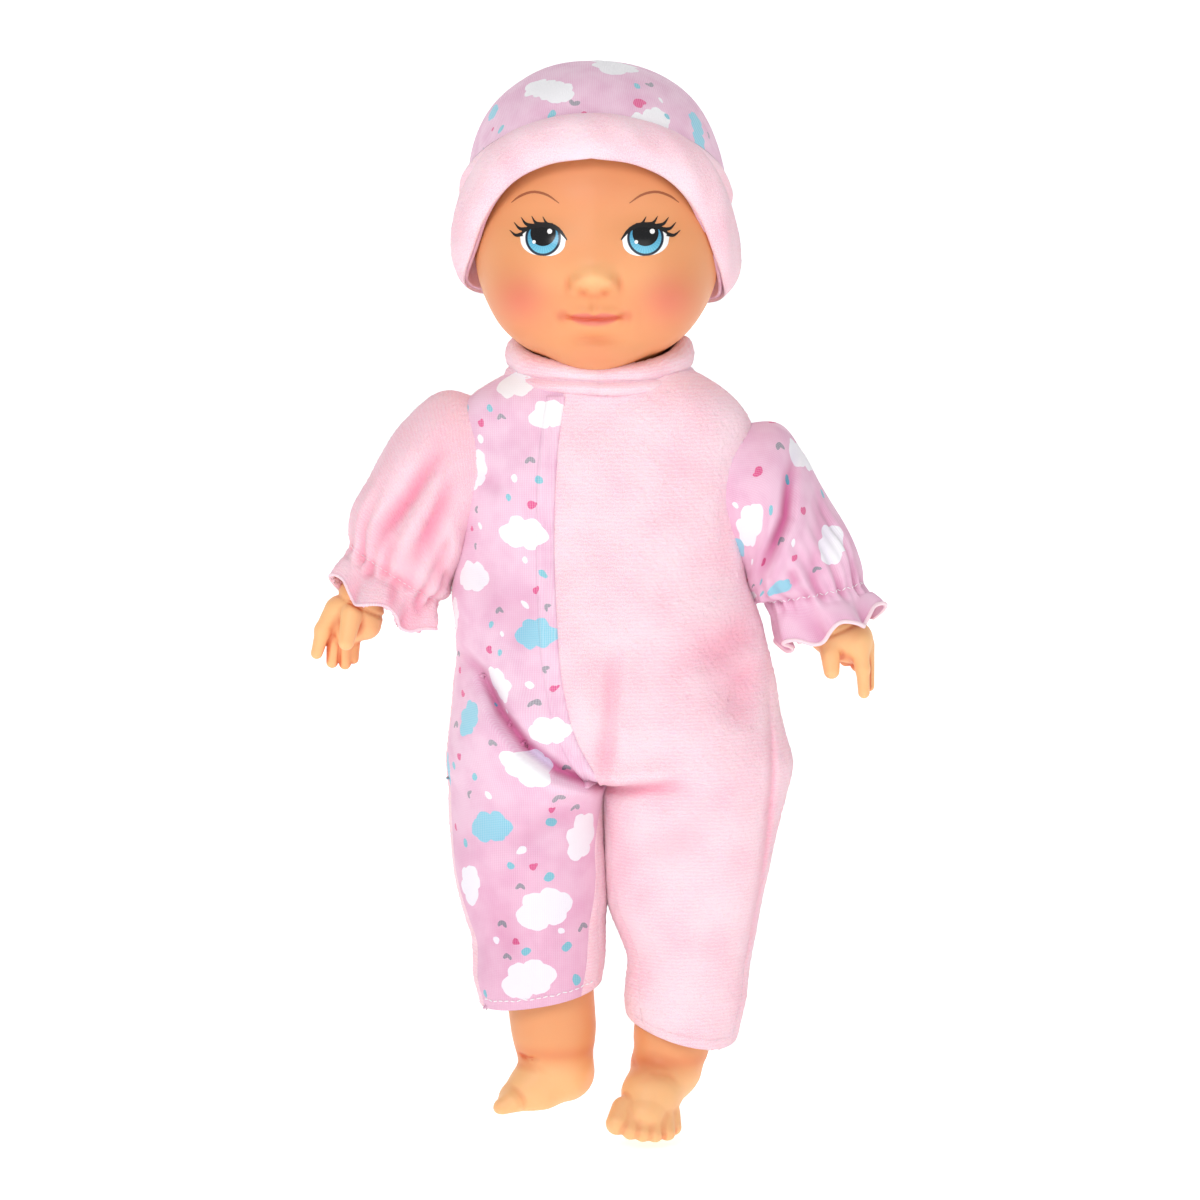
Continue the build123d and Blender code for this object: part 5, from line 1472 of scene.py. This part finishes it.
def sleeve_shape(loops, lines, gathers, waves, rows, columns, plump=0.0):
    """A puffed sleeve with its gathered cuff line and wavy ruffle.

    Returns its points, their cloth coordinates and the row that is gathered.
    """
    keys = [loop[0] for loop in loops]
    s = np.linspace(0, keys[-1], rows)[:, None]
    turn = np.linspace(0, 2 * math.pi, columns + 1)[None, :-1]
    cx, cz, half, lean, depth = (curve_through(s, keys, [loop[i] for loop in loops]) for i in range(1, 6))
    lean = np.radians(lean)
    pinch = np.exp(-(((s - 1) / 0.30) ** 2)) * (s < 1) + np.exp(-(((s - 1) / 0.12) ** 2)) * (s >= 1)
    ripple = 0.75 * np.sin(gathers * turn + 1.3 * np.sin(3 * turn))
    ripple = ripple + 0.5 * np.sin(int(1.6 * gathers) * turn + 2)
    ripple = ripple * pinch - 0.9 * np.exp(-(((s - 1) / 0.035) ** 2))
    open_out = smooth_step(1.0, 1.4, s)
    frill = 2.6 * np.sin(waves * turn + 0.6 * np.sin(2 * turn)) + 0.7 * np.sin((2 * waves + 1) * turn)
    frill = open_out * frill
    puff = plump * np.exp(-(((s - 0.86) / 0.1) ** 2))
    across, deep = half + ripple + frill + puff, depth + ripple + frill + puff
    a = across * np.cos(turn)
    along = open_out * 2.3 * np.cos(waves * turn + 1)
    x = cx + a * np.cos(lean) + along * np.sin(lean) * np.sign(cx)
    z = cz + a * np.sin(lean) - along
    y = -deep * np.sin(turn)
    points = np.stack(np.broadcast_arrays(x, y, z), -1)
    total = np.zeros(points.shape[:2])
    for line, width, fold in lines:
        total += fold * crease(points[..., 0], points[..., 2], line, width)
    facing = smooth_step(0.15, 0.5, np.sin(turn))
    centre = np.stack(np.broadcast_arrays(cx, 0 * cx, cz), -1)
    out = points - centre
    out = out / (np.linalg.norm(out, axis=-1, keepdims=True) + 1e-6)
    # Painted shade: the fold value deepens the colour in the front's fold hollows, in the gathers' pinches and
    # where the frill turns in, with a little everywhere.
    fold = np.clip(0.26 * total * facing, 0, 0.9) + 0.3 * np.clip(-ripple, 0, 1.4) * pinch
    fold = fold + np.clip(-0.12 * frill, 0, 0.3)
    fold = np.clip(0.12 + fold, 0, 1)
    total = total * facing + 0.5 * np.sin(4 * turn + 5 * s) * (1 - facing) * smooth_step(0, 0.3, s)
    points = points - total[..., None] * out
    run = np.concatenate([[0], np.cumsum(np.linalg.norm(np.diff(points[:, columns // 8], axis=0), axis=1))])
    uv = np.stack(np.broadcast_arrays((turn - math.pi / 2) * 24, -run[:, None], fold), -1)
    edge = np.argmin(np.abs(s[:, 0] - 1.0))
    return points, uv, edge


# Motifs on the printed sleeve by kind, on its cloth laid flat: (round, along, size, turn).
SLEEVE_MOTIFS = {
    "white": [
        (10, -16, 1.15, 0.2), (-28, -30, 1.1, 0.8), (-18, -60, 1.2, -0.4), (34, -44, 1.1, 0.5),
        (-52, -14, 1.1, 0), (60, -24, 1.1, 0.6), (62, -60, 1.0, 0.1), (-72, -36, 1.0, 0.1),
    ],
    "blue": [
        (24, -12, 0.9, 0.3), (12, -60, 1.0, 0.9), (-46, -48, 1.0, 0.4),
    ],
    "magenta": [
        (-8, -14, 1.2, 0.3), (14, -34, 1.1, 0), (-12, -42, 1.1, 0.8), (30, -28, 0.9, 0), (0, -52, 1.0, 1),
        (-36, -16, 1.1, 0), (48, -40, 1.0, 0.2), (-60, -30, 1.0, 0.4), (68, -42, 1.0, 0),
        (-66, -52, 1.0, 0.3),
    ],
    "teal": [
        (0, -24, 1.1, 0.3), (20, -42, 1.1, 0.8), (-14, -28, 1.1, 0), (22, -52, 1.2, 0.2),
        (-30, -46, 1.0, 0.3), (46, -56, 1.0, 0), (44, -14, 1.0, 0), (-62, -58, 1.0, 0),
        (-56, -42, 1.1, 0.4), (66, -14, 1.0, 0),
    ],
    "grey": [
        (2, -38, 1.1, 0.5), (26, -36, 1.0, 0.2), (-6, -64, 1.0, 0), (-20, -20, 1.1, 0.8),
        (40, -32, 1.0, 0.4), (-40, -60, 1.0, 0.1), (54, -32, 1.0, 0.3), (-68, -20, 1.0, 0.2),
    ],
    "drop": [
        (-2, -46, 1.0, 0.2), (20, -24, 0.9, 0.6), (-34, -38, 1.0, 0), (6, -8, 0.9, 0), (-50, -30, 1.0, 0),
    ],
}


def make_sleeve(side):
    right = side == "right"
    rows, columns = 190, 300
    if right:
        points, uv, edge = sleeve_shape(SLEEVE_RIGHT, SLEEVE_FOLDS_RIGHT, 13, 5, rows, columns, 0.9)
    else:
        points, uv, edge = sleeve_shape(SLEEVE_LEFT, SLEEVE_FOLDS_LEFT, 17, 6, rows, columns, 0.7)
    gather = points[edge]
    faces = triangles(grid_faces(rows, columns, True))
    if right:
        faces = faces[:, ::-1]
    flat, flat_uv = points.reshape(-1, 3), uv.reshape(-1, 3)
    if right:
        thing = plush_object("sleeve_right_plush", flat, faces, flat_uv, plush, 0.08, 1.4)
    else:
        thing = printed_object("sleeve_left_jersey", flat, faces, flat_uv, SLEEVE_MOTIFS, 1.1)
    centre = gather.mean(0)
    out = (gather - centre) / np.linalg.norm(gather - centre, axis=1)[:, None]
    ring = np.concatenate([gather, gather[:1]]) + np.concatenate([out, out[:1]]) * 0.25
    thread = stitches(f"sleeve_{side}_stitches", ring, 1.6, 0.5, 0.2, 0.1 if right else 0.45)
    thread.data.materials.append(thread_pink if right else thread_white)
    inner = gather - out * 2.1
    elastic = tube(f"sleeve_{side}_elastic", inner, 0.55)
    elastic.data.materials.append(plain(f"elastic_{side}", linear(246, 240, 240), 0.6))
    rim = points[-1]
    rolled = tube(f"sleeve_{side}_rolled_edge", rim, 0.6 if right else 0.75)
    rolled.data.materials.append(plush if right else thread_pink)
    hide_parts(f"sleeve_{side}")
    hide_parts(f"sleeve_elastic_{side}")
    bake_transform(thing)
    for piece in (thread, elastic, rolled):
        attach(piece, f"upper_arm_{side}")


def tube(name, loop, radius, sides=8):
    """A closed tube round a loop of points."""
    loop = np.asarray(loop, float)
    along = np.roll(loop, -1, 0) - np.roll(loop, 1, 0)
    along /= np.linalg.norm(along, axis=1)[:, None] + 1e-9
    out = loop - loop.mean(0)
    out -= (out * along).sum(1)[:, None] * along
    out /= np.linalg.norm(out, axis=1)[:, None]
    up = np.cross(along, out)
    ring = np.linspace(0, 2 * math.pi, sides + 1)[:-1]
    circle = np.cos(ring)[None, :, None] * out[:, None] + np.sin(ring)[None, :, None] * up[:, None]
    points = loop[:, None] + radius * circle
    rows = np.arange(len(loop))
    here, there = rows * sides, np.roll(rows, -1) * sides
    faces = []
    for k in range(sides):
        n = (k + 1) % sides
        faces.append(np.stack([here + k, here + n, there + n, there + k], 1))
    uv = np.zeros((len(loop) * sides, 2))
    uv[:, 0] = np.repeat(rows, sides) * 0.4
    return mesh_object(name, points.reshape(-1, 3), np.concatenate(faces), uv)


for sleeve_side in ("right", "left"):
    make_sleeve(sleeve_side)


# ---------------------------------------------------------------- hands and feet
def axis_point(joint, lean, t):
    """A point down a limb's axis, t from its joint. lean is the swing away from straight down, towards -x."""
    lean = math.radians(lean)
    return np.array([joint[0] - math.sin(lean) * t, joint[1], joint[2] - math.cos(lean) * t])


SHOULDER = {"right": ((-55, 0, 72), 27), "left": ((57, 0, 64), -21.5)}
HIP = {"right": ((-24.5, 0, -50), -5.6), "left": ((34.5, 0, -50), 5)}

# Parts of each hand: (start, end, start radius, end radius, softness of the join).
HAND = {
    "right": [
        ((-84.5, 1.5, 17), (-86.5, 0.5, 11), 6.0, 6.5, 2.5),
        ((-87.5, 1, 10), (-88.5, 1.5, 4), 6.8, 6.0, 2.5), ((-81.8, 2, 9), (-82.2, 2, 5.4), 6.2, 5.6, 2.5),
        ((-92.5, -0.5, 11.0), (-97.0, -1.0, 3.5), 4.0, 3.0, 2.0),
        ((-97.0, -1.0, 3.5), (-99.3, -1.6, -4.6), 2.8, 2.1, 1.5),
        ((-93.2, 1.5, 2.5), (-94.0, 0.6, -8.0), 2.8, 2.1, 0.8),
        ((-89.6, 2, 2), (-89.5, 1.2, -8.6), 2.8, 2.1, 0.7),
        ((-86.4, 2.6, 2), (-86.5, 2, -7.0), 2.6, 1.8, 0.7),
        ((-86.6, -6.0, 9.8), (-88.4, -9.4, 0.0), 3.9, 2.8, 0.9),
    ],
    "left": [
        ((80.6, 1.5, 4.6), (84, 0.5, 1.4), 7.0, 7.2, 2.5), ((85, 0, 2), (90, 0, 0), 7.3, 7.2, 2.5),
        ((84.8, 2, -1.5), (90, 2.5, -3), 6.0, 5.6, 2.5),
        ((91.6, -2.6, -0.5), (93.3, -4.2, -10), 4.0, 2.5, 1.6),
        ((93.3, -4.2, -10), (93.75, -4.6, -18.3), 2.4, 2.05, 1.2),
        ((94.6, 1, -2), (96.0, 0.4, -16.6), 3.2, 1.75, 0.9), ((91, 5, -3), (92, 5, -9.5), 3.0, 2.4, 1.0),
        ((87.4, 5.2, -2), (88, 5.4, -7.5), 3.2, 2.5, 1.0),
        ((81.4, -3.6, 1.0), (82.2, -6.8, -10.4), 4.2, 2.8, 1.1),
    ],
}


def arm_field(side):
    joint, lean = SHOULDER[side]
    top, wrist = axis_point(joint, lean, 39), axis_point(joint, lean, 66)

    def field(p):
        d = rod(p, top, wrist, 10.2, 7.2)
        for start, end, a, b, soft in HAND[side]:
            d = join(d, rod(p, start, end, a, b), soft)
        axis = (wrist - top) / np.linalg.norm(wrist - top)
        along = (p - wrist) @ axis
        crease = 0.7 * np.exp(-(((along - 0.5) / 0.8) ** 2)) + 0.35 * np.exp(-(((along + 4) / 0.8) ** 2))
        return np.maximum(d + crease, -(p - top) @ axis)
    return field


RIGHT_FOOT = [
    ((-15.2, 0, -147), (-14.2, 0.3, -152), 13.2, 12.2), ((-11.5, 2, -154), (-9.6, 3.5, -156.6), 9.6, 7.6),
    ((-15, 0, -154), (-22.5, -4, -158.5), 11.2, 8.6),
    ((-22, -4, -159.5), (-29.5, -7.5, -162.6), 8.6, 5.8),
    ((-30.5, -11.5, -163.2), (-33.8, -12.4, -165.0), 4.2, 3.3),
    ((-30, -7.2, -163.2), (-33.6, -8.3, -165.3), 3.6, 2.8),
    ((-29.4, -3.8, -163.2), (-32.4, -4.6, -165.2), 3.4, 2.6),
    ((-27.5, -0.8, -162.8), (-30.2, -1.4, -165.0), 3.2, 2.5),
    ((-25, 1.8, -162.4), (-27.2, 1.6, -164.8), 3.0, 2.4),
]
LEFT_FOOT = [
    ((26, 0, -146), (24.6, 0, -151), 13.0, 12.2), ((25.5, 3, -154), (25.3, 4.5, -157), 9.8, 8.2),
    ((23.5, -2, -154), (19.6, -11, -160.5), 11.2, 9.6),
    ((18, -10, -161), (16.6, -17.5, -166.6), 9.6, 7.4),
    ((9.5, -17, -165), (6.8, -22.5, -168.6), 5.0, 4.1),
    ((12.6, -19.5, -167.2), (11.4, -24.8, -171.0), 3.6, 2.9),
    ((16.4, -19.5, -168), (15.8, -24.6, -172.0), 3.5, 2.8),
    ((20, -18.6, -168.2), (20, -23.6, -172.6), 3.4, 2.7),
    ((23.4, -16.4, -168.0), (24.4, -21.0, -172.4), 3.5, 2.8),
    ((25.6, -12, -167.4), (26.6, -15.6, -171.4), 3.6, 2.9),
]
FOOT_CREASES = {
    "right": [(((-29, -146.5), (-24.5, -148), (-20, -147.6)), 0.9, 0.9)],
    "left": [(((14.5, -154.5), (19, -152.3), (25, -153.2), (30, -157.6)), 1.1, 0.4),
             (((11, -149), (15, -151.5)), 1.0, 0.4)],
}


def leg_skin_field(side):
    joint, lean = HIP[side]
    top, shin = axis_point(joint, lean, 51), axis_point(joint, lean, 88)
    parts = RIGHT_FOOT if side == "right" else LEFT_FOOT
    lift = -167.9 if side == "right" else -176.3

    def field(p):
        d = rod(p, top, shin, 16.4, 15.2 if side == "right" else 13.8)
        for i, (start, end, a, b) in enumerate(parts):
            d = join(d, rod(p, start, end, a, b), 4.0 if i < 4 else 1.5)
        x, y, z = p[..., 0], p[..., 1], p[..., 2]
        for line, width, fold in FOOT_CREASES[side]:
            d = d + fold * crease(x, z, line, width) * smooth_step(0, -6, y)
        d = -join(-d, z - lift, 2.5)
        return np.maximum(d, -(p - top) @ ((shin - top) / np.linalg.norm(shin - top)))
    return field


def make_limbs():
    boxes = {
        ("arm", "right"): ((-108, -18, -18), (-62, 16, 46)),
        ("arm", "left"): ((60, -18, -26), (108, 16, 38)),
        ("leg", "right"): ((-44, -24, -174), (6, 22, -92)),
        ("leg", "left"): ((-2, -34, -182), (52, 22, -94)),
    }
    for (kind, side), (low, high) in boxes.items():
        field = arm_field(side) if kind == "arm" else leg_skin_field(side)
        points, faces = surface(field, low, high, 1.15, 1)
        points, faces = divide(points, faces, field)
        thing = mesh_object(f"{kind}_{side}_vinyl", points, faces)
        normals = get_normals(thing)
        near, far = field(points + normals * 1.4), field(points + normals * 3.5)
        shade = np.clip(0.9 * (1.3 - near) + 0.3 * (3.2 - far), 0, 0.75)
        _, y, z = points.T
        # A paler vinyl tone over the arms and a little over the legs, with painted light on the fronts of the
        # hands and feet.
        if kind == "arm":
            light = 0.95 * smooth_step(2, -4, y) * smooth_step(20, 8, z) + 0.35
            shade += 0.3 * smooth_step(-1, 5, y) * smooth_step(2, -6, z)
        else:
            ankle = -146 if side == "right" else -149
            light = 0.12 + 0.8 * smooth_step(ankle, ankle - 9, z) * smooth_step(6, -6, y)
            shade += 0.25 * np.exp(-(((z - ankle) / 2.5) ** 2))
        add_values(thing, "tint", np.stack([0 * shade, 0 * shade, shade.clip(0, 0.8)], 1))
        add_values(thing, "light", np.repeat(light.clip(0, 1)[:, None], 3, 1))
        thing.data.materials.append(skin)
        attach(thing, f"{kind}_{side}")
        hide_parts(f"{kind}_{side}")


make_limbs()


# ---------------------------------------------------------------- hems and the cloth body
def make_hem_threads():
    for right in (True, False):
        x = np.linspace(-40, -1.5, 90) if right else np.linspace(13, 47, 80)
        field = print_side if right else plain_side
        z = np.full(x.shape, -124.0 if right else -136.0)
        for _ in range(4):
            y = cloth_front(field, x, z, 0.12)
            z = hem_height(np.stack([x, y, z], -1), right) + 3.6 + 0.2 * np.sin(x * 0.9)
        side = "right" if right else "left"
        lift = 0.2 if right else 0.3
        line = np.stack([x, cloth_front(field, x, z, lift), z], -1)
        thread = stitches(f"hem_{side}_stitches", line, 1.9, 0.5, 0.26 if right else 0.18, 0.15)
        thread.data.materials.append(thread_white if right else thread_pink)
        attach(thread, f"thigh_{side}")


make_hem_threads()
body_cloth = plain("body_cloth", linear(244, 214, 200), 0.9, 0, 2500, 0.3)


def make_cloth_body():
    """The stuffed cloth body and limb tops under the clothes."""
    def inner(p):
        z = p[..., 2]
        left = curve_through(z, LEFT_EDGE[0], LEFT_EDGE[1]) + 5.5
        right = curve_through(z, RIGHT_EDGE[0], RIGHT_EDGE[1]) - 6
        d = section(p, left, right, curve_through(z, *DEPTH) - 4.5, 2.2)
        d = -join(-d, z + 44, 9)
        d = -join(-d, 90 - z, 6)
        seam = 0.7 * np.exp(-((p[..., 1] / 1.1) ** 2))
        return d + seam + 0.4 * np.sin(p[..., 0] / 6 + z / 9)
    points, faces = surface(inner, (-60, -40, -48), (72, 40, 94), 2.2, 2)
    body = mesh_object("body_cloth_padded", points, faces)
    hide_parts("torso_stuffing", "body_bag")
    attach(body, "torso")
    made = [body]
    for side in ("right", "left"):
        for kind, joints, radii, reach, node in (("upper_arm", SHOULDER, (10.5, 10.5), 36, "upper_arm"),
                                                 ("thigh", HIP, (20.5, 17.0), 49, "thigh")):
            joint, lean = joints[side]
            top, end = axis_point(joint, lean, 0), axis_point(joint, lean, reach - radii[1] * 0.4)

            def field(p, top=top, end=end, radii=radii):
                along = (p - top) @ (end - top) / np.linalg.norm(end - top)
                wrinkle = 0.5 * np.sin(p[..., 0] / 3.1 + p[..., 1] / 2.7) * smooth_step(10, 30, along)
                return rod(p, top, end, *radii) + wrinkle
            reach_box = radii[0] + 3
            low, high = np.minimum(top, end) - reach_box, np.maximum(top, end) + reach_box
            points, faces = surface(field, low, high, 1.9, 1)
            thing = mesh_object(f"{kind}_{side}_padded", points, faces)
            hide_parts(f"{node}_{side}")
            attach(thing, f"{kind}_{side}")
            made.append(thing)
    for thing in made:
        thing.data.materials.append(body_cloth)


make_cloth_body()


# ---------------------------------------------------------------- finishes of the CAD parts that show
def mould_grain(name, colour, roughness, metallic=0.0, speck=0.12, scale=1800, strength=0.15):
    """Moulded or machined surface: slight colour drift, uneven gloss and a fine grain."""
    material, nodes, links, shader = new_material(name)
    place = object_coordinates(nodes)
    drift = noise_node(nodes, links, 90, place, 4.0)
    dark = tuple(c * (1 - speck) for c in colour[:3]) + (1,)
    links.new(mix(nodes, links, drift, colour, dark), shader.inputs["Base Color"])
    links.new(maths(nodes, links, "MULTIPLY_ADD", drift, 0.2, roughness - 0.1), shader.inputs["Roughness"])
    shader.inputs["Metallic"].default_value = metallic
    add_bump(nodes, links, shader, noise_node(nodes, links, scale, place), strength, 0.0002)
    return material


def banded(name, low, high, scale, roughness=0.7, metallic=0.0, axis="Z"):
    """A surface with fine regular bands: cord twist, tape hooks, cone ribs or a printed jacket."""
    material, nodes, links, shader = new_material(name)
    wave = nodes.new("ShaderNodeTexWave")
    wave.bands_direction = axis
    wave.inputs["Scale"].default_value = scale
    wave.inputs["Distortion"].default_value = 1.5
    links.new(object_coordinates(nodes), wave.inputs["Vector"])
    links.new(mix(nodes, links, wave.outputs["Fac"], low, high), shader.inputs["Base Color"])
    shader.inputs["Roughness"].default_value = roughness
    shader.inputs["Metallic"].default_value = metallic
    add_bump(nodes, links, shader, wave.outputs["Fac"], 0.4, 0.0004)
    return material


def finish_cad_parts():
    steel = mould_grain("plated_steel", linear(190, 190, 186), 0.3, 1.0)
    case = mould_grain("case_plastic", linear(238, 237, 232), 0.5)
    pink_plastic = mould_grain("button_plastic", linear(222, 104, 138), 0.25)
    loop_pink, loop_deep = linear(252, 214, 226), linear(240, 184, 202)
    hook_pink, hook_deep = linear(250, 226, 234), linear(236, 190, 206)
    cord = banded("tie_cord", linear(236, 234, 228), linear(214, 210, 202), 900, 0.9, 0.0, "DIAGONAL")
    finishes = {
        "neck_tie arm_tie_right arm_tie_left leg_tie_right leg_tie_left": cord,
        "case_front case_back battery_door": case,
        "case_screws door_screw contact_springs contact_plates button_spring": steel,
        "battery_cells": banded("cell_jacket", linear(52, 84, 138), linear(60, 96, 152), 300, 0.35, 0.4),
        "circuit_board": mould_grain("solder_mask", linear(34, 104, 62), 0.35, 0.0, 0.35, 600),
        "sound_chip speaker_cone": mould_grain("black_resin", linear(26, 26, 28), 0.4),
        "press_switch speaker_frame power_switch": mould_grain("dark_plastic", linear(54, 54, 58), 0.45),
        "speaker_magnet": mould_grain("ferrite", linear(66, 66, 66), 0.6, 0.3),
        "speaker_wires": mould_grain("wire_pvc", linear(186, 52, 48), 0.5),
        "voice_button": pink_plastic,
        "back_fastener_loop": banded("loop_tape", loop_pink, loop_deep, 500, 0.95, 0.0, "X"),
        "back_fastener_hook": banded("hook_tape", hook_pink, hook_deep, 700, 0.6, 0.0, "Z"),
    }
    for names, finish in finishes.items():
        for name in names.split():
            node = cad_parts[name]
            if node.data.materials:
                for i in range(len(node.data.materials)):
                    node.data.materials[i] = finish
            else:
                node.data.materials.append(finish)


def make_fastener_stitches():
    """The lines of thread that hold the hook-and-loop tape to the back."""
    low, high = (np.array(corner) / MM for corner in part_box("back_fastener_hook"))
    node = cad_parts["back_fastener_hook"]
    tape = BVHTree.FromPolygons([v.co for v in node.data.vertices], [f.vertices for f in node.data.polygons])
    lines = []
    for x in (low[0] + 1.2, high[0] - 1.2):
        line = []
        for z in np.linspace(low[2] + 1.2, high[2] - 1.2, 60):
            hit = tape.ray_cast(Vector((x * MM, 0.2, z * MM)), Vector((0, -1, 0)))[0]
            if hit:
                line.append((x, hit.y / MM + 0.1, z))
        lines.append(line)
    for name, line in zip(("fastener_stitches_right", "fastener_stitches_left"), lines):
        thread = stitches(name, line, 1.8, 0.6, 0.2, 0.1)
        thread.data.materials.append(thread_white)
        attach(thread, "torso")


finish_cad_parts()
make_fastener_stitches()


# ---------------------------------------------------------------- stage
def make_floor():
    """A white sweep: the floor curves up into a softly glowing wall."""
    floor_z = -177.5
    bend = [(-30000, 0), (2100, 0)]
    bend += [(2100 + 700 * math.sin(t), 700 - 700 * math.cos(t)) for t in np.linspace(0.1, math.pi / 2, 16)]
    bend += [(2800, 6000)]
    points = [(x, y, floor_z + z) for y, z in bend for x in (-6000, 6000)]
    sweep = mesh_object("floor", points, grid_faces(len(bend), 2))
    material = plain("sweep_paper", (0.92, 0.92, 0.92, 1), 0.7)
    shader = material.node_tree.nodes["Principled BSDF"]
    shader.inputs["Emission Color"].default_value = (1, 1, 1, 1)
    shader.inputs["Emission Strength"].default_value = 0.52
    sweep.data.materials.append(material)


make_floor()
